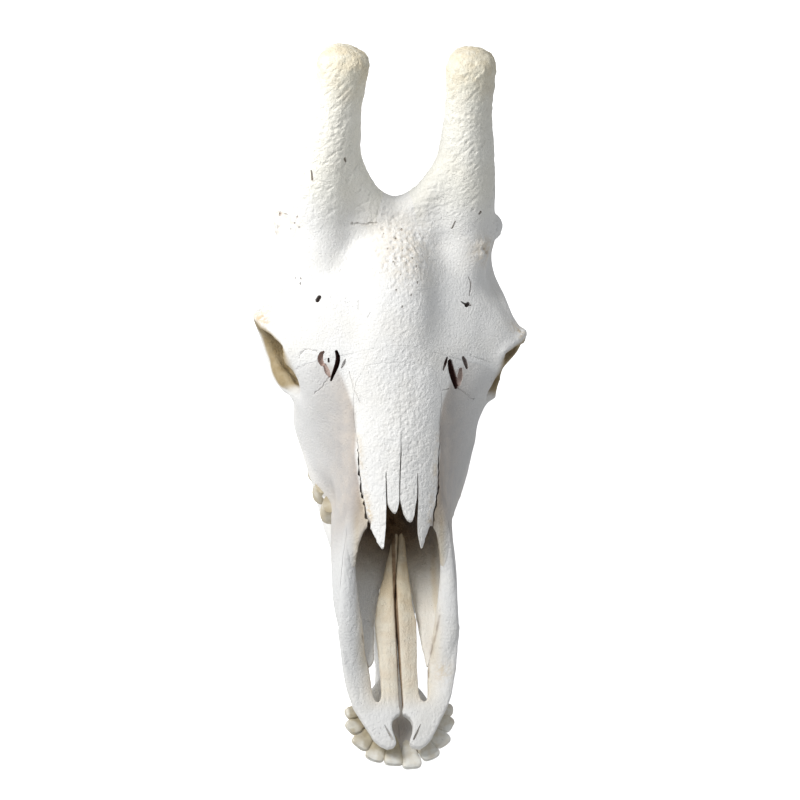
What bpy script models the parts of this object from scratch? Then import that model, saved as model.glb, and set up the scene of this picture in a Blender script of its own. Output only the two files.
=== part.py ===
"""A life-size giraffe skull with its lower jaw, lying on the floor on the lower jaw.

The skull is modelled in its own directions, in millimetres: side (to its left when positive x),
back (from the tip of the upper jaw) and up (from the plane of the palate). REST then turns it
nose down, until the under edge of the lower jaw is level, and changes millimetres to metres.
"""

import math

import bmesh
import bpy
import numpy as np
from mathutils import Euler, Matrix, Vector

MM = 0.001

# Where the lower jaw meets the floor: two places on its under edge, as (back, up)
FRONT_REST = (185.0, -61.5)
REAR_REST = (395.0, -91.5)
FLAT_DEPTH = 0.8
MIDDLE_BACK = 261.7

# Driving sizes of the head
SEAM = 0.3
VOXEL = 2.4
HEAD_TRIANGLES = 5200
JAW_TRIANGLES = 1150
PREMAXILLA_TRIANGLES = 520
EYE_TO_EYE = 250.0
ORBIT_CENTRE = (94.0, 350.0, 84.0)
ORBIT_RADII = (50.0, 32.0, 29.0)
HORN_TIP = (55.5, 506.0, 302.0)
HORN_TIP_RADIUS = 22.5
CONDYLE_CENTRE = (75.0, 448.0, 41.0)
CONDYLE_RADII = (16.0, 8.0, 6.0)
CHEW_PLANE = -16.0

# Where the seams between the parts run
FACE_END = 318.0
TOOTH_BONE_TOP = 34.0
TOOTH_BONE_END = 374.0
SADDLE_HALF = 18.0
HORN_FOOT = (446.0, 168.0)
HORN_LEAN = 25.0

CHEEKBONE_INNER = 78.0
CHEEKBONE_LOW_TOP = 62.0
CHEEKBONE_FRONT = 335.0
CHEEKBONE_TOP = 90.0
CHEEKBONE_END = 424.0

BONE = (0.86, 0.85, 0.82)


def clear_scene():
    for obj in list(bpy.data.objects):
        bpy.data.objects.remove(obj)


def rest_matrix():
    """Turns the skull nose down about the side axis, sets it on the floor and scales it to metres."""
    run = REAR_REST[0] - FRONT_REST[0]
    drop = FRONT_REST[1] - REAR_REST[1]
    turn = Matrix.Rotation(math.atan2(drop, run), 4, "X")
    foot = turn @ Vector((0, FRONT_REST[0], FRONT_REST[1]))
    place = Matrix.Translation((0, -MIDDLE_BACK, -foot.z - FLAT_DEPTH))
    return Matrix.Scale(MM, 4) @ place @ turn


REST = rest_matrix()


# Smooth lines and the surfaces made from them


def through(rows, per_span, closed=False):
    """Rows of a smooth line through the given rows: a uniform Catmull-Rom curve in every column."""
    rows = np.asarray(rows, float)
    count = len(rows)
    spans = count if closed else count - 1
    made = []
    for i in range(spans):
        near = [i - 1, i, i + 1, i + 2]
        if closed:
            a, b, c, d = (rows[k % count] for k in near)
        else:
            a, b, c, d = (rows[min(max(k, 0), count - 1)] for k in near)
        t = np.linspace(0, 1, per_span, endpoint=False)[:, None]
        made.append(0.5 * (2 * b + (c - a) * t + (2 * a - 5 * b + 4 * c - d) * t**2
                           + (3 * b - a - 3 * c + d) * t**3))
    if not closed:
        made.append(rows[-1:])
    return np.vstack(made)


def object_from(name, points, faces):
    mesh = bpy.data.meshes.new(name)
    mesh.from_pydata([tuple(p) for p in points], [], faces)
    obj = bpy.data.objects.new(name, mesh)
    bpy.context.scene.collection.objects.link(obj)
    build = bmesh.new()
    build.from_mesh(mesh)
    bmesh.ops.recalc_face_normals(build, faces=build.faces)
    build.to_mesh(mesh)
    build.free()
    return obj


def skin(name, rings, closed=False):
    """A closed body whose surface runs from ring to ring. Its ends are fans round their middles."""
    rings = np.asarray(rings, float)
    count, sides, _ = rings.shape
    points = list(rings.reshape(-1, 3))
    faces = []
    for i in range(count if closed else count - 1):
        j = (i + 1) % count
        for k in range(sides):
            m = (k + 1) % sides
            faces.append((i * sides + k, i * sides + m, j * sides + m, j * sides + k))
    if not closed:
        for i in (0, count - 1):
            middle = len(points)
            points.append(rings[i].mean(axis=0))
            faces += [(middle, i * sides + k, i * sides + (k + 1) % sides) for k in range(sides)]
    return object_from(name, points, faces)


def tube(name, path, side=1, sides=14, per_span=6, closed=False, across=(1, 0, 0), bulge=1.0):
    """A body of oval section along a smooth path. Its ends are round, flattened where bulge is small.

    Each row of the path is side, back, up, the radius towards `across`, and the other radius.
    """
    rows = np.array([r if len(r) == 5 else (*r, r[3]) for r in path], float)
    rows = through(rows, per_span, closed)
    centre, radii = rows[:, :3], rows[:, 3:]
    if closed:
        run = np.roll(centre, -1, 0) - np.roll(centre, 1, 0)
    else:
        run = np.gradient(centre, axis=0)
    run /= np.linalg.norm(run, axis=1)[:, None]
    first = np.array(across, float) - run * (run @ np.array(across, float))[:, None]
    first /= np.linalg.norm(first, axis=1)[:, None]
    second = np.cross(run, first)
    if not closed:
        caps = np.radians([80, 55, 28])
        head = [(0, -bulge * math.sin(a), math.cos(a)) for a in caps]
        tail = [(-1, bulge * math.sin(a), math.cos(a)) for a in caps[::-1]]
        rows = [(i, 0.0, 1.0) for i in range(len(centre))]
        rows = head + rows + tail
    else:
        rows = [(i, 0.0, 1.0) for i in range(len(centre))]
    turn = np.linspace(0, 2 * math.pi, sides, endpoint=False)
    rings = []
    for i, along, grown in rows:
        middle = centre[i] + run[i] * along * radii[i].min()
        oval = (np.cos(turn)[:, None] * first[i] * radii[i, 0]
                + np.sin(turn)[:, None] * second[i] * radii[i, 1])
        rings.append(middle + oval * grown)
    rings = np.array(rings)
    rings[:, :, 0] *= side
    return skin(name, rings, closed)


def both(maker, name, *args, **kwargs):
    """The same piece on the left and on the right."""
    return [maker(f"{name}_{word}", *args, side=side, **kwargs)
            for word, side in (("left", 1), ("right", -1))]


def ball(name, centre, radii, side=1, tilt=(0, 0, 0)):
    """An ellipsoid, turned by `tilt` degrees about its three axes."""
    mesh = bpy.data.meshes.new(name)
    build = bmesh.new()
    bmesh.ops.create_uvsphere(build, u_segments=24, v_segments=16, radius=1)
    turn = Euler([math.radians(a) for a in tilt]).to_matrix().to_4x4()
    build.transform(Matrix.Translation(centre) @ turn @ Matrix.Diagonal((*radii, 1)))
    build.transform(Matrix.Diagonal((side, 1, 1, 1)))
    bmesh.ops.recalc_face_normals(build, faces=build.faces)
    build.to_mesh(mesh)
    build.free()
    obj = bpy.data.objects.new(name, mesh)
    bpy.context.scene.collection.objects.link(obj)
    return obj


def box(name, low, high):
    corners = [(x, y, z) for x in (low[0], high[0]) for y in (low[1], high[1]) for z in (low[2], high[2])]
    faces = [(0, 1, 3, 2), (4, 6, 7, 5), (0, 4, 5, 1), (2, 3, 7, 6), (0, 2, 6, 4), (1, 5, 7, 3)]
    return object_from(name, corners, faces)


def prism(name, outline, low, high):
    """A body of one plan outline, given as (side, back) points, between two heights."""
    rings = [[(x, y, z) for x, y in outline] for z in (low, high)]
    count = len(outline)
    points = rings[0] + rings[1]
    faces = [tuple(range(count)), tuple(range(count, 2 * count))]
    faces += [(k, (k + 1) % count, count + (k + 1) % count, count + k) for k in range(count)]
    return object_from(name, points, faces)


# Joining, cutting and softening


def apply_modifiers(obj):
    graph = bpy.context.evaluated_depsgraph_get()
    mesh = bpy.data.meshes.new_from_object(obj.evaluated_get(graph))
    obj.modifiers.clear()
    old = obj.data
    obj.data = mesh
    bpy.data.meshes.remove(old)
    return obj


def boolean(obj, others, operation):
    """One Boolean of obj with all the others, which are then removed."""
    group = bpy.data.collections.new("pieces")
    bpy.context.scene.collection.children.link(group)
    for other in others:
        group.objects.link(other)
    modifier = obj.modifiers.new(operation.lower(), "BOOLEAN")
    modifier.operation = operation
    modifier.operand_type = "COLLECTION"
    modifier.collection = group
    modifier.solver = "MANIFOLD"
    apply_modifiers(obj)
    for other in others:
        bpy.data.objects.remove(other)
    bpy.data.collections.remove(group)
    return obj


def join(name, pieces):
    obj, *others = pieces
    boolean(obj, others, "UNION")
    obj.name = name
    return obj


def cut(obj, cutters):
    return boolean(obj, cutters, "DIFFERENCE")


def copy_of(obj, name):
    made = bpy.data.objects.new(name, obj.data.copy())
    bpy.context.scene.collection.objects.link(made)
    return made


def keep(obj, name, region):
    """The part of obj that lies inside region, as a new object."""
    made = copy_of(obj, name)
    modifier = made.modifiers.new("keep", "BOOLEAN")
    modifier.operation = "INTERSECT"
    modifier.object = region
    modifier.solver = "MANIFOLD"
    apply_modifiers(made)
    bpy.data.objects.remove(region)
    return made


def keep_largest(obj):
    """Drops every closed surface but the largest."""
    build = bmesh.new()
    build.from_mesh(obj.data)
    left = set(build.verts)
    groups = []
    while left:
        front = [left.pop()]
        group = set(front)
        while front:
            for edge in front.pop().link_edges:
                for vert in edge.verts:
                    if vert in left:
                        left.remove(vert)
                        group.add(vert)
                        front.append(vert)
        groups.append(group)
    groups.sort(key=len)
    drop = [v for group in groups[:-1] for v in group]
    bmesh.ops.delete(build, geom=drop, context="VERTS")
    build.to_mesh(obj.data)
    build.free()
    return obj


def soften(obj, voxel, passes, triangles):
    """Makes one even skin of the joined pieces, rounds the joins, and thins the mesh out."""
    fuse = obj.modifiers.new("fuse", "REMESH")
    fuse.mode = "VOXEL"
    fuse.voxel_size = voxel
    ease = obj.modifiers.new("ease", "SMOOTH")
    ease.iterations = passes
    ease.factor = 0.5
    apply_modifiers(obj)
    keep_largest(obj)
    thin = obj.modifiers.new("thin", "DECIMATE")
    thin.ratio = min(1.0, triangles / (2 * len(obj.data.polygons)))
    thin.use_collapse_triangulate = True
    apply_modifiers(obj)
    return keep_largest(obj)


def grown(obj, name, by):
    """A copy of obj whose surface is moved out by a hair, to cut its neighbours with."""
    made = copy_of(obj, name)
    swell = made.modifiers.new("swell", "DISPLACE")
    swell.strength = by
    swell.mid_level = 0
    return apply_modifiers(made)


# The head: face, braincase, eye sockets and horns as one form


def head_rings(stations, sides_per_span=5, per_span=5):
    """Rings of a mirrored section. Each station is back, the height of the under side, four
    (side, up) points from the tooth line to the roof, and the height of the roof."""
    rows = [(back, bottom, *low, *cheek, *flank, *shoulder, top)
            for back, bottom, low, cheek, flank, shoulder, top in stations]
    rings = []
    for row in through(rows, per_span):
        back, bottom, top = row[0], row[1], row[-1]
        points = row[2:-1].reshape(-1, 2)
        right = points[::-1] * (-1, 1)
        outline = np.vstack([[(0, bottom)], points, [(0, top)], right])
        outline = through(outline, sides_per_span, closed=True)
        rings.append(np.column_stack([outline[:, 0], np.full(len(outline), back), outline[:, 1]]))
    return rings


def face():
    return skin("face", head_rings([
        (70, 1, (20, 1), (35, 7), (33, 11), (22, 13), 12),
        (100, 0, (32, 1), (50, 12), (47, 22), (38, 27), 24),
        (130, 0, (38, 1), (56, 16), (51, 30), (41, 40), 38),
        (165, 3, (40, 0), (57, 20), (50, 42), (40, 60), 68),
        (200, 4, (47, -1), (56, 20), (47, 52), (38, 80), 91),
        (235, 5, (62, -2), (59, 26), (49, 64), (37, 95), 104),
        (275, 6, (74, -3), (72, 34), (57, 82), (40, 112), 119),
        (310, 6, (78, -3), (87, 52), (71, 98), (52, 121), 134),
        (335, 7, (75, -2), (82, 60), (75, 105), (62, 130), 146),
    ]))


def braincase():
    return skin("braincase", head_rings([
        (322, 4, (50, -2), (48, 40), (50, 90), (60, 125), 138),
        (360, 8, (38, 2), (44, 40), (46, 85), (62, 130), 160),
        (400, 18, (22, 20), (44, 45), (50, 85), (64, 132), 172),
        (440, 24, (24, 26), (54, 50), (58, 85), (62, 130), 176),
        (470, 26, (26, 28), (58, 55), (58, 88), (50, 122), 152),
        (495, 30, (28, 34), (50, 60), (52, 88), (36, 106), 114),
        (515, 36, (24, 40), (36, 56), (36, 76), (22, 88), 92),
    ]))


def roof():
    """The forehead and the brows: a wide arch from the face to the feet of the horns."""
    widest = EYE_TO_EYE / 2 - 6
    rows = [(305, 0.56, 108, 131), (325, 0.75, 112, 142), (345, 0.91, 113, 152), (363, 1.0, 111, 161),
            (380, 0.955, 112, 168), (400, 0.86, 112, 173), (430, 0.775, 112, 178), (455, 0.775, 120, 178),
            (476, 0.66, 125, 158)]
    stations = []
    for back, share, edge, top in rows:
        half = widest * share
        arch = edge + 0.65 * (top - edge)
        stations.append((back, top - 40, (0.6 * half, edge - 8), (half - 5, edge - 8),
                         (half, edge), (0.58 * half, arch), top))
    return skin("roof", head_rings(stations))


def forehead_ridge():
    """The broad swelling along the middle, from the nose bones to between the horns."""
    return tube("ridge", [(0, 240, 82, 37, 20), (0, 290, 104, 38, 21), (0, 335, 129, 39, 24),
                          (0, 370, 146, 38, 26), (0, 405, 154, 34, 25), (0, 430, 154, 30, 22)], sides=20)


def eye_rim(name, side):
    return tube(name, [(116, 366, 110, 9, 6), (111, 347, 118, 9, 6), (99, 327, 113, 10, 7),
                       (90, 313, 94, 9, 7), (89, 309, 72, 9, 8), (94, 318, 54, 9, 9),
                       (101, 341, 45, 8, 9), (106, 366, 47, 7, 9), (108, 385, 64, 6, 9),
                       (114, 385, 88, 7, 9)],
                side=side, sides=10, per_span=4, closed=True, across=(0.9, 0.1, 0.3))


def cheek_arch(name, side):
    return tube(name, [(95, 328, 48, 9, 13), (103, 358, 45, 6, 11), (104, 388, 50, 5, 8.5),
                       (97, 418, 56, 5, 8), (84, 447, 60, 9, 8.5)], side=side)


def brow(name, side):
    """The shelf edge from the corner behind the eye to the knob at the foot of the horn."""
    return tube(name, [(112, 372, 110, 9), (102, 395, 110, 9), (90, 425, 111, 10), (89, 445, 119, 11),
                       (95, 462, 131, 11.5)], side=side)


def horn(name, side):
    x, y, z = HORN_TIP
    r = HORN_TIP_RADIUS
    return tube(name, [(64, 436, 128, 28, 30), (64, 446, 160, 30, 32), (62, 460, 195, 29, 30),
                       (60, 475, 229, 25.2, 26.5), (57.5, 490, 265, 20.8, 22.5), (x, y, z, r, r)],
                side=side, sides=20, bulge=0.75)


def saddle():
    """The hollow curve between the feet of the horns, which runs up their inner sides."""
    half = [(44, 463, 224, 14), (36, 457, 197, 15.5), (24, 450, 179, 17)]
    path = half + [(0, 446, 166.5, 17.5)] + [(-x, y, z, r) for x, y, z, r in half[::-1]]
    return tube("saddle", path, across=(0, 1, 0))


def jaw_joint_root(name, side):
    return ball(name, (76, 453, 59), (25, 20, 8.5), side=side)


def back_crest():
    half = [(66, 478, 70), (60, 487, 86), (44, 495, 101), (22, 499, 109)]
    path = [(x, y, z, 7) for x, y, z in half] + [(0, 500, 111, 7)]
    path += [(-x, y, z, 7) for x, y, z in half[::-1]]
    return tube("crest", path, across=(0, 1, 0))


def ear_root(name, side):
    return tube(name, [(82, 460, 60, 8), (70, 474, 64, 9), (62, 483, 74, 9)], side=side)


def neck_joint():
    """The two rounded knuckles that the neck turns on, and the bone that carries them."""
    pieces = [ball("neck_root", (0, 512, 50), (36, 26, 26))]
    pieces += both(ball, "knuckle", (21, 535, 43), (14, 15, 18))
    return pieces


def skull_base():
    pieces = both(tube, "ear_process", [(42, 496, 48, 8, 9), (43, 506, 22, 6, 8), (41, 512, -8, 4, 5)])
    pieces += both(ball, "ear_capsule", (34, 476, 20), (11, 19, 12))
    pieces += both(tube, "wing_plate", [(21, 345, 4, 4, 6), (20, 370, 8, 3.2, 15), (20, 394, 13, 3.2, 14),
                                        (21, 415, 24, 4, 9)])
    return pieces


def cheek_bone(name, side):
    """The solid bone in front of and below the eye socket."""
    return tube(name, [(66, 288, 58, 16, 26), (76, 312, 60, 15, 26), (84, 330, 54, 12, 18),
                       (95, 352, 45, 8, 8)], side=side)


def tear_bone(name, side):
    """The front wall of the eye socket, between the cheek and the brow."""
    return tube(name, [(70, 298, 72, 10, 18), (79, 314, 84, 13, 18), (88, 324, 100, 12, 13)], side=side)


def tooth_base(name, side):
    """The swelling of the upper jaw over the roots of the hindmost teeth."""
    return tube(name, [(64, 325, 14, 14, 16), (62, 352, 12, 13, 15), (58, 369, 12, 12, 13)], side=side)


def nose_hollow():
    """What is cut from the face: the nose passage, open above in front of the nose bones."""
    return skin("nose_hollow", head_rings([
        (52, 8, (24, 9), (31, 14), (31, 30), (26, 70), 80),
        (85, 7, (28, 8), (36, 14), (33, 34), (28, 90), 100),
        (130, 7, (30, 7), (42, 16), (38, 38), (33, 100), 112),
        (160, 8, (30, 8), (42, 18), (38, 46), (30, 72), 75),
        (200, 9, (29, 9), (38, 22), (34, 52), (24, 74), 83),
        (250, 12, (24, 12), (30, 30), (27, 62), (20, 88), 96),
        (295, 24, (12, 26), (16, 45), (14, 70), (10, 86), 92),
    ]))


def palate_slot(name, side):
    """The long gap in the palate on each side of the middle bars."""
    outline = [(34, 60), (30, 88), (22, 110), (17, 140), (13, 172), (9, 172), (9, 60)]
    return prism(name, [(side * x, y) for x, y in outline], -20, 9)


def head_form():
    pieces = [face(), braincase(), roof(), forehead_ridge(), saddle(), back_crest()]
    pieces += neck_joint() + skull_base()
    for maker, name in ((brow, "brow"), (horn, "horn"), (jaw_joint_root, "joint_root"),
                        (ear_root, "ear_root"), (cheek_bone, "cheek_bone"), (tear_bone, "tear_bone"),
                        (tooth_base, "tooth_base")):
        pieces += both(maker, name)
    head = join("head", pieces)
    cutters = both(ball, "socket", ORBIT_CENTRE, ORBIT_RADII, tilt=(0, 0, -8))
    cutters.append(nose_hollow())
    cutters.append(tube("spine_hole", [(0, 470, 58, 12), (0, 520, 54, 13), (0, 570, 50, 14)]))
    cutters.append(tube("throat", [(0, 352, 6, 13, 9), (0, 385, 2, 14, 12), (0, 420, -8, 14, 12)]))
    cutters += both(palate_slot, "palate_slot")
    for cutter in cutters:
        cut(head, [cutter])
    rims = both(eye_rim, "eye_rim") + both(cheek_arch, "cheek_arch")
    head = join("head", [head, *rims])
    return soften(head, VOXEL, 5, HEAD_TRIANGLES)


# The nose bones: one thin roof over the nose passage, cut in two, each half with two prongs


def nose_roof():
    rows = [(148, 16, 73, 77), (175, 26, 77, 85), (200, 35, 82, 92.5), (235, 40, 95, 105.5),
            (275, 42, 111, 121.5), (308, 42, 124, 134)]
    thick = 6
    stations = []
    for back, half, edge, top in rows:
        arch = edge + 0.7 * (top - edge)
        stations.append((back, top - thick, (0.55 * half, arch - thick), (half, edge - thick),
                         (half, edge), (0.55 * half, arch), top))
    return skin("nose_roof", head_rings(stations, sides_per_span=2, per_span=3))


def nose_outline(side, gap):
    """Plan of one nose bone, from its rear end round the outer edge to the two prongs."""
    outer = through([(30, 306), (39, 288), (38, 262), (37, 235), (35, 212), (31, 192), (24.5, 170)], 3)
    prongs = [(17.6, 154), (16.0, 168), (15.2, 192), (14.6, 214), (13.0, 214), (11.4, 192), (7.2, 178),
              (2.4, 192)]
    inner = [(0.3, 214), (0.0, 306)]
    outline = [(x - gap, y) for x, y in outer] + prongs + [(x + gap / 2, y) for x, y in inner]
    return [(side * x, y) for x, y in outline]


def nose_opening(gap):
    """Plan of the place both nose bones take in the roof of the face."""
    outer = through([(30, 306), (39, 288), (38, 262), (37, 235), (35, 212), (31, 192), (24.5, 170)], 3)
    half = [(x + gap, y) for x, y in outer]
    half[0] = (half[0][0], half[0][1] + gap)
    half += [(24.5 + gap, 100), (0, 100)]
    left = [(-x, y) for x, y in half[::-1]]
    return half[:-1] + left[1:]


def tooth(name, centre, length, width, crown, root, side, lobes, outer_bias):
    """A grinding tooth: a waisted oval crown with one or two lobes, narrower at its root.

    crown and root are the heights of its two ends. The outer wall has a rib on each lobe.
    """
    x, y = centre
    count = 4 * lobes + 4
    turn = np.linspace(0, 2 * math.pi, count, endpoint=False)
    rings = []
    for share, grow in ((0.0, 0.80), (0.55, 1.0), (0.86, 0.98), (1.0, 0.80)):
        height = root + (crown - root) * share
        waist = 1 - 0.13 * np.cos(lobes * 2 * (turn - math.pi / 2)) * (lobes > 1)
        wide = width / 2 * np.cos(turn) * waist * grow
        wide += outer_bias * width * 0.10 * (1 - share)
        run = length / 2 * 0.97 * np.sign(np.sin(turn)) * np.abs(np.sin(turn)) ** 0.8 * grow
        rings.append(np.column_stack([side * (x + wide), y + run, np.full(count, height)]))
    return skin(name, rings)


FAN_ANGLES = (8.5, 26, 44, 62, 79)
FAN_WIDTHS = (14.5, 15, 14.5, 13.5, 12)
FAN_HALF = 45.5
FAN_LENGTH = 51.0
FAN_MIDDLE = 35.0
FAN_ROOT = 0.34
FAN_EDGE = -7.0
UPPER_TEETH = ((20, 19, 1), (22, 22, 1), (22, 24, 1), (26, 27, 2), (29, 28, 2), (28, 26, 2))
LOWER_TEETH = ((16, 11, 1), (21, 14, 1), (23, 16, 1), (26, 18, 2), (28, 19, 2), (34, 17, 3))
UPPER_ROW_START = 222.0
LOWER_ROW_START = 219.0
UPPER_ROOT = 8.0
LOWER_ROOT = -37.0


def tooth_row(sizes, start, line, crown, root, side, bias):
    """Teeth set one behind another. line gives the middle of the row at each place along it."""
    teeth = []
    back = start
    for i, (length, width, lobes) in enumerate(sizes):
        middle = back + length / 2
        x = float(np.interp(middle, *line))
        teeth.append(tooth(f"tooth_{i}", (x, middle), length, width, crown, root, side, lobes, bias))
        back += length
    return teeth


def upper_teeth():
    line = ((222, 244, 266, 290, 318, 352), (50, 57, 62, 65, 66, 62))
    teeth = []
    for side in (1, -1):
        teeth += tooth_row(UPPER_TEETH, UPPER_ROW_START, line, CHEW_PLANE + 0.4, UPPER_ROOT, side, 1)
    return teeth


# The front bones of the upper jaw


def premaxilla(name, side):
    """One front bone: a flat tip, an outer bar up beside the nose, and an inner bar in the palate."""
    outer = tube("outer_bar", [(17, 9, 4, 9, 4.5), (27, 24, 6, 13, 6), (35, 46, 10, 13, 7),
                               (39, 72, 16, 13, 7.5), (42, 98, 25, 12, 7.5), (44, 125, 36, 9, 6.5),
                               (44, 152, 49, 7, 5), (42, 178, 62, 5, 3.5), (40.5, 194, 71, 3.5, 2.5)],
                 side=side, across=(0.82, 0, 0.5))
    inner = tube("inner_bar", [(17, 30, 3, 10, 5), (13.5, 48, 3, 11, 5), (11.5, 78, 3.5, 10, 5),
                               (9.5, 110, 4.5, 8, 5), (7, 145, 6, 5, 4.5), (5, 172, 7, 3.5, 4)],
                 side=side)
    tip = ball("tip", (25, 27, 3.5), (15, 17, 5.5), side=side)
    bone = join(name, [outer, inner, tip])
    cut(bone, [tube("notch", [(0, 22, -30, 8.5), (0, 22, 40, 8.5)])])
    low, high = sorted((side * -40.0, side * 0.9))
    cut(bone, [box("middle", (low, -20, -40), (high, 220, 120))])
    return soften(bone, 1.5, 3, PREMAXILLA_TRIANGLES)


# The lower jaw


def jaw_body(side):
    pieces = [
        tube("body", [(16, 20, -21, 15, 5), (19, 36, -24, 18, 7.5), (13, 56, -28, 12.5, 9.5),
                      (9.5, 78, -31, 9, 11.5), (10, 104, -35, 9, 13), (18, 145, -39, 9, 15.5),
                      (32, 190, -44, 9.5, 18.3), (47, 240, -47.5, 10.5, 20), (57, 290, -51, 11.5, 22.5),
                      (61, 335, -54, 12, 26.5), (64, 372, -57, 11, 31.5), (67, 400, -59, 8, 33),
                      (68, 416, -56, 5, 29)], side=side),
        tube("ramus", [(66, 398, -62, 7, 25), (68, 409, -38, 6.5, 34), (70, 416, -12, 6, 34),
                       (71, 424, 10, 5.5, 28), (73, 436, 27, 5.5, 18), (74, 446, 37, 7, 9)], side=side),
        tube("coronoid", [(68, 404, 0, 5, 18), (70, 410, 30, 4.5, 12), (72, 418, 60, 4, 9),
                          (73, 431, 88, 3.5, 6)], side=side),
        ball("joint", CONDYLE_CENTRE, CONDYLE_RADII, side=side),
    ]
    return pieces


def incisor(name, side, root, tip, width):
    """A front tooth: a spoon-shaped crown that widens from a narrow root towards its edge."""
    root, tip = Vector(root), Vector(tip)
    run = (tip - root).normalized()
    across = run.cross(Vector((0, 0, 1))).normalized()
    top = across.cross(run)
    rows = ((0.0, 0.24, 4.2), (0.40, 0.30, 4.6), (0.62, 0.44, 4.2), (0.84, 0.52, 3.0), (1.0, 0.42, 1.2))
    turn = np.linspace(0, 2 * math.pi, 10, endpoint=False)
    rings = []
    for share, half, thick in rows:
        middle = root.lerp(tip, share)
        ring = [middle + across * width * half * math.cos(a) + top * thick * math.sin(a) for a in turn]
        rings.append([(side * p.x, p.y, p.z) for p in ring])
    return skin(name, rings)


def incisors(side):
    """The fan of front teeth, with their edges on half an oval. The last two are the canine's lobes."""
    teeth = []
    for i, (turn, width) in enumerate(zip(FAN_ANGLES, FAN_WIDTHS)):
        angle = math.radians(turn)
        tip = (FAN_HALF * math.sin(angle), FAN_MIDDLE - FAN_LENGTH * math.cos(angle), FAN_EDGE)
        root = (FAN_ROOT * tip[0], FAN_MIDDLE - FAN_ROOT * FAN_LENGTH * math.cos(angle) + 6, -23.0)
        teeth.append(incisor(f"incisor_{i}", side, root, tip, width))
    return teeth


def lower_jaw(name, side):
    jaw = join(name, jaw_body(side))
    middle = box("middle", (-200 if side > 0 else -0.25, -60, -150), (0.25 if side > 0 else 200, 600, 150))
    cut(jaw, [middle])
    soften(jaw, VOXEL, 4, JAW_TRIANGLES)
    line = ((219, 244, 266, 290, 318, 360), (44, 51, 55.5, 58, 60, 61))
    teeth = tooth_row(LOWER_TEETH, LOWER_ROW_START, line, CHEW_PLANE - 0.4, LOWER_ROOT, side, 0)
    jaw = join(name, [jaw, *teeth, *incisors(side)])
    middle = box("middle", (-200 if side > 0 else -0.2, -60, -150), (0.2 if side > 0 else 200, 600, 150))
    return cut(jaw, [middle])


# The parts, each its own node


def horn_plane(name, gap, side):
    """A big block whose under face crosses the foot of one horn, square to the horn."""
    block = box(name, (0, -200, 0), (200, 200, 400))
    block.data.transform(Matrix.Rotation(math.radians(-HORN_LEAN), 4, "X"))
    block.data.transform(Matrix.Translation((SADDLE_HALF + gap, *HORN_FOOT)))
    block.data.transform(Matrix.Translation((0, 0, gap)))
    block.data.transform(Matrix.Diagonal((side, 1, 1, 1)))
    if side < 0:
        block.data.flip_normals()
    return block


def rear_region(grow):
    """Everything behind the seams of the upper jaw: a step that passes over the hindmost teeth."""
    upper = box("rear", (-300, FACE_END - grow, TOOTH_BONE_TOP - grow), (300, 900, 600))
    lower = box("rear", (-300, TOOTH_BONE_END - grow, -300), (300, 900, 300))
    return join("rear", [upper, lower])


def cheekbone_region(grow, side):
    """The cheekbone's place: under the eye socket, up the bar behind it and back along the arch."""
    inner, outer = CHEEKBONE_INNER - grow, 200
    low_top, top, end = CHEEKBONE_LOW_TOP + grow, CHEEKBONE_TOP + grow, CHEEKBONE_END + grow
    low, high = sorted((side * inner, side * outer))
    under = box("cheekbone", (low, FACE_END - 5, 0), (high, end, low_top))
    behind = box("cheekbone", (low, CHEEKBONE_FRONT - grow, 20), (high, end, top))
    return join("cheekbone", [under, behind])


def part_head(head):
    """Cuts the one head form into the parts that a person would name."""
    nodes = []
    roof_plate = nose_roof()
    for word, side in (("left", 1), ("right", -1)):
        region = prism("region", nose_outline(side, SEAM / 2), 60, 200)
        nodes.append(keep_largest(keep(roof_plate, f"nasal_{word}", region)))
    bpy.data.objects.remove(roof_plate)
    cut(head, [prism("opening", nose_opening(SEAM / 2), 60, 200)])
    for word, side in (("left", 1), ("right", -1)):
        nodes.append(keep_largest(keep(head, f"ossicone_{word}", horn_plane("above", SEAM, side))))
        cut(head, [horn_plane("above", 0, side)])
    rear = keep(head, "cranium", rear_region(0))
    for word, side in (("left", 1), ("right", -1)):
        nodes.append(keep_largest(keep(rear, f"cheekbone_{word}", cheekbone_region(0, side))))
        cut(rear, [cheekbone_region(SEAM, side)])
    nodes.append(keep_largest(rear))
    cut(head, [rear_region(SEAM)])
    keep_largest(head)
    head = join("upper_jaw", [head, *upper_teeth()])
    return nodes + [keep_largest(head)]


def paint(obj, colour):
    material = bpy.data.materials.new(obj.name)
    material.use_nodes = True
    shader = material.node_tree.nodes["Principled BSDF"]
    shader.inputs["Base Color"].default_value = (*colour, 1)
    shader.inputs["Roughness"].default_value = 0.7
    obj.data.materials.clear()
    obj.data.materials.append(material)


def main():
    clear_scene()
    head = head_form()
    bones = both(premaxilla, "premaxilla")
    cut(head, [grown(bone, "clear", SEAM) for bone in bones])
    keep_largest(head)
    nodes = part_head(head)
    jaws = both(lower_jaw, "mandible")
    for obj in nodes + bones + jaws:
        obj.data.transform(REST)
        paint(obj, BONE)
    for jaw in jaws:
        cut(jaw, [box("floor", (-1, -1, -1), (1, 1, 0))])


main()
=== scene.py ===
import math

import bmesh
import bpy
import numpy as np
from mathutils import Matrix, Vector
from mathutils.bvhtree import BVHTree


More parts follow.
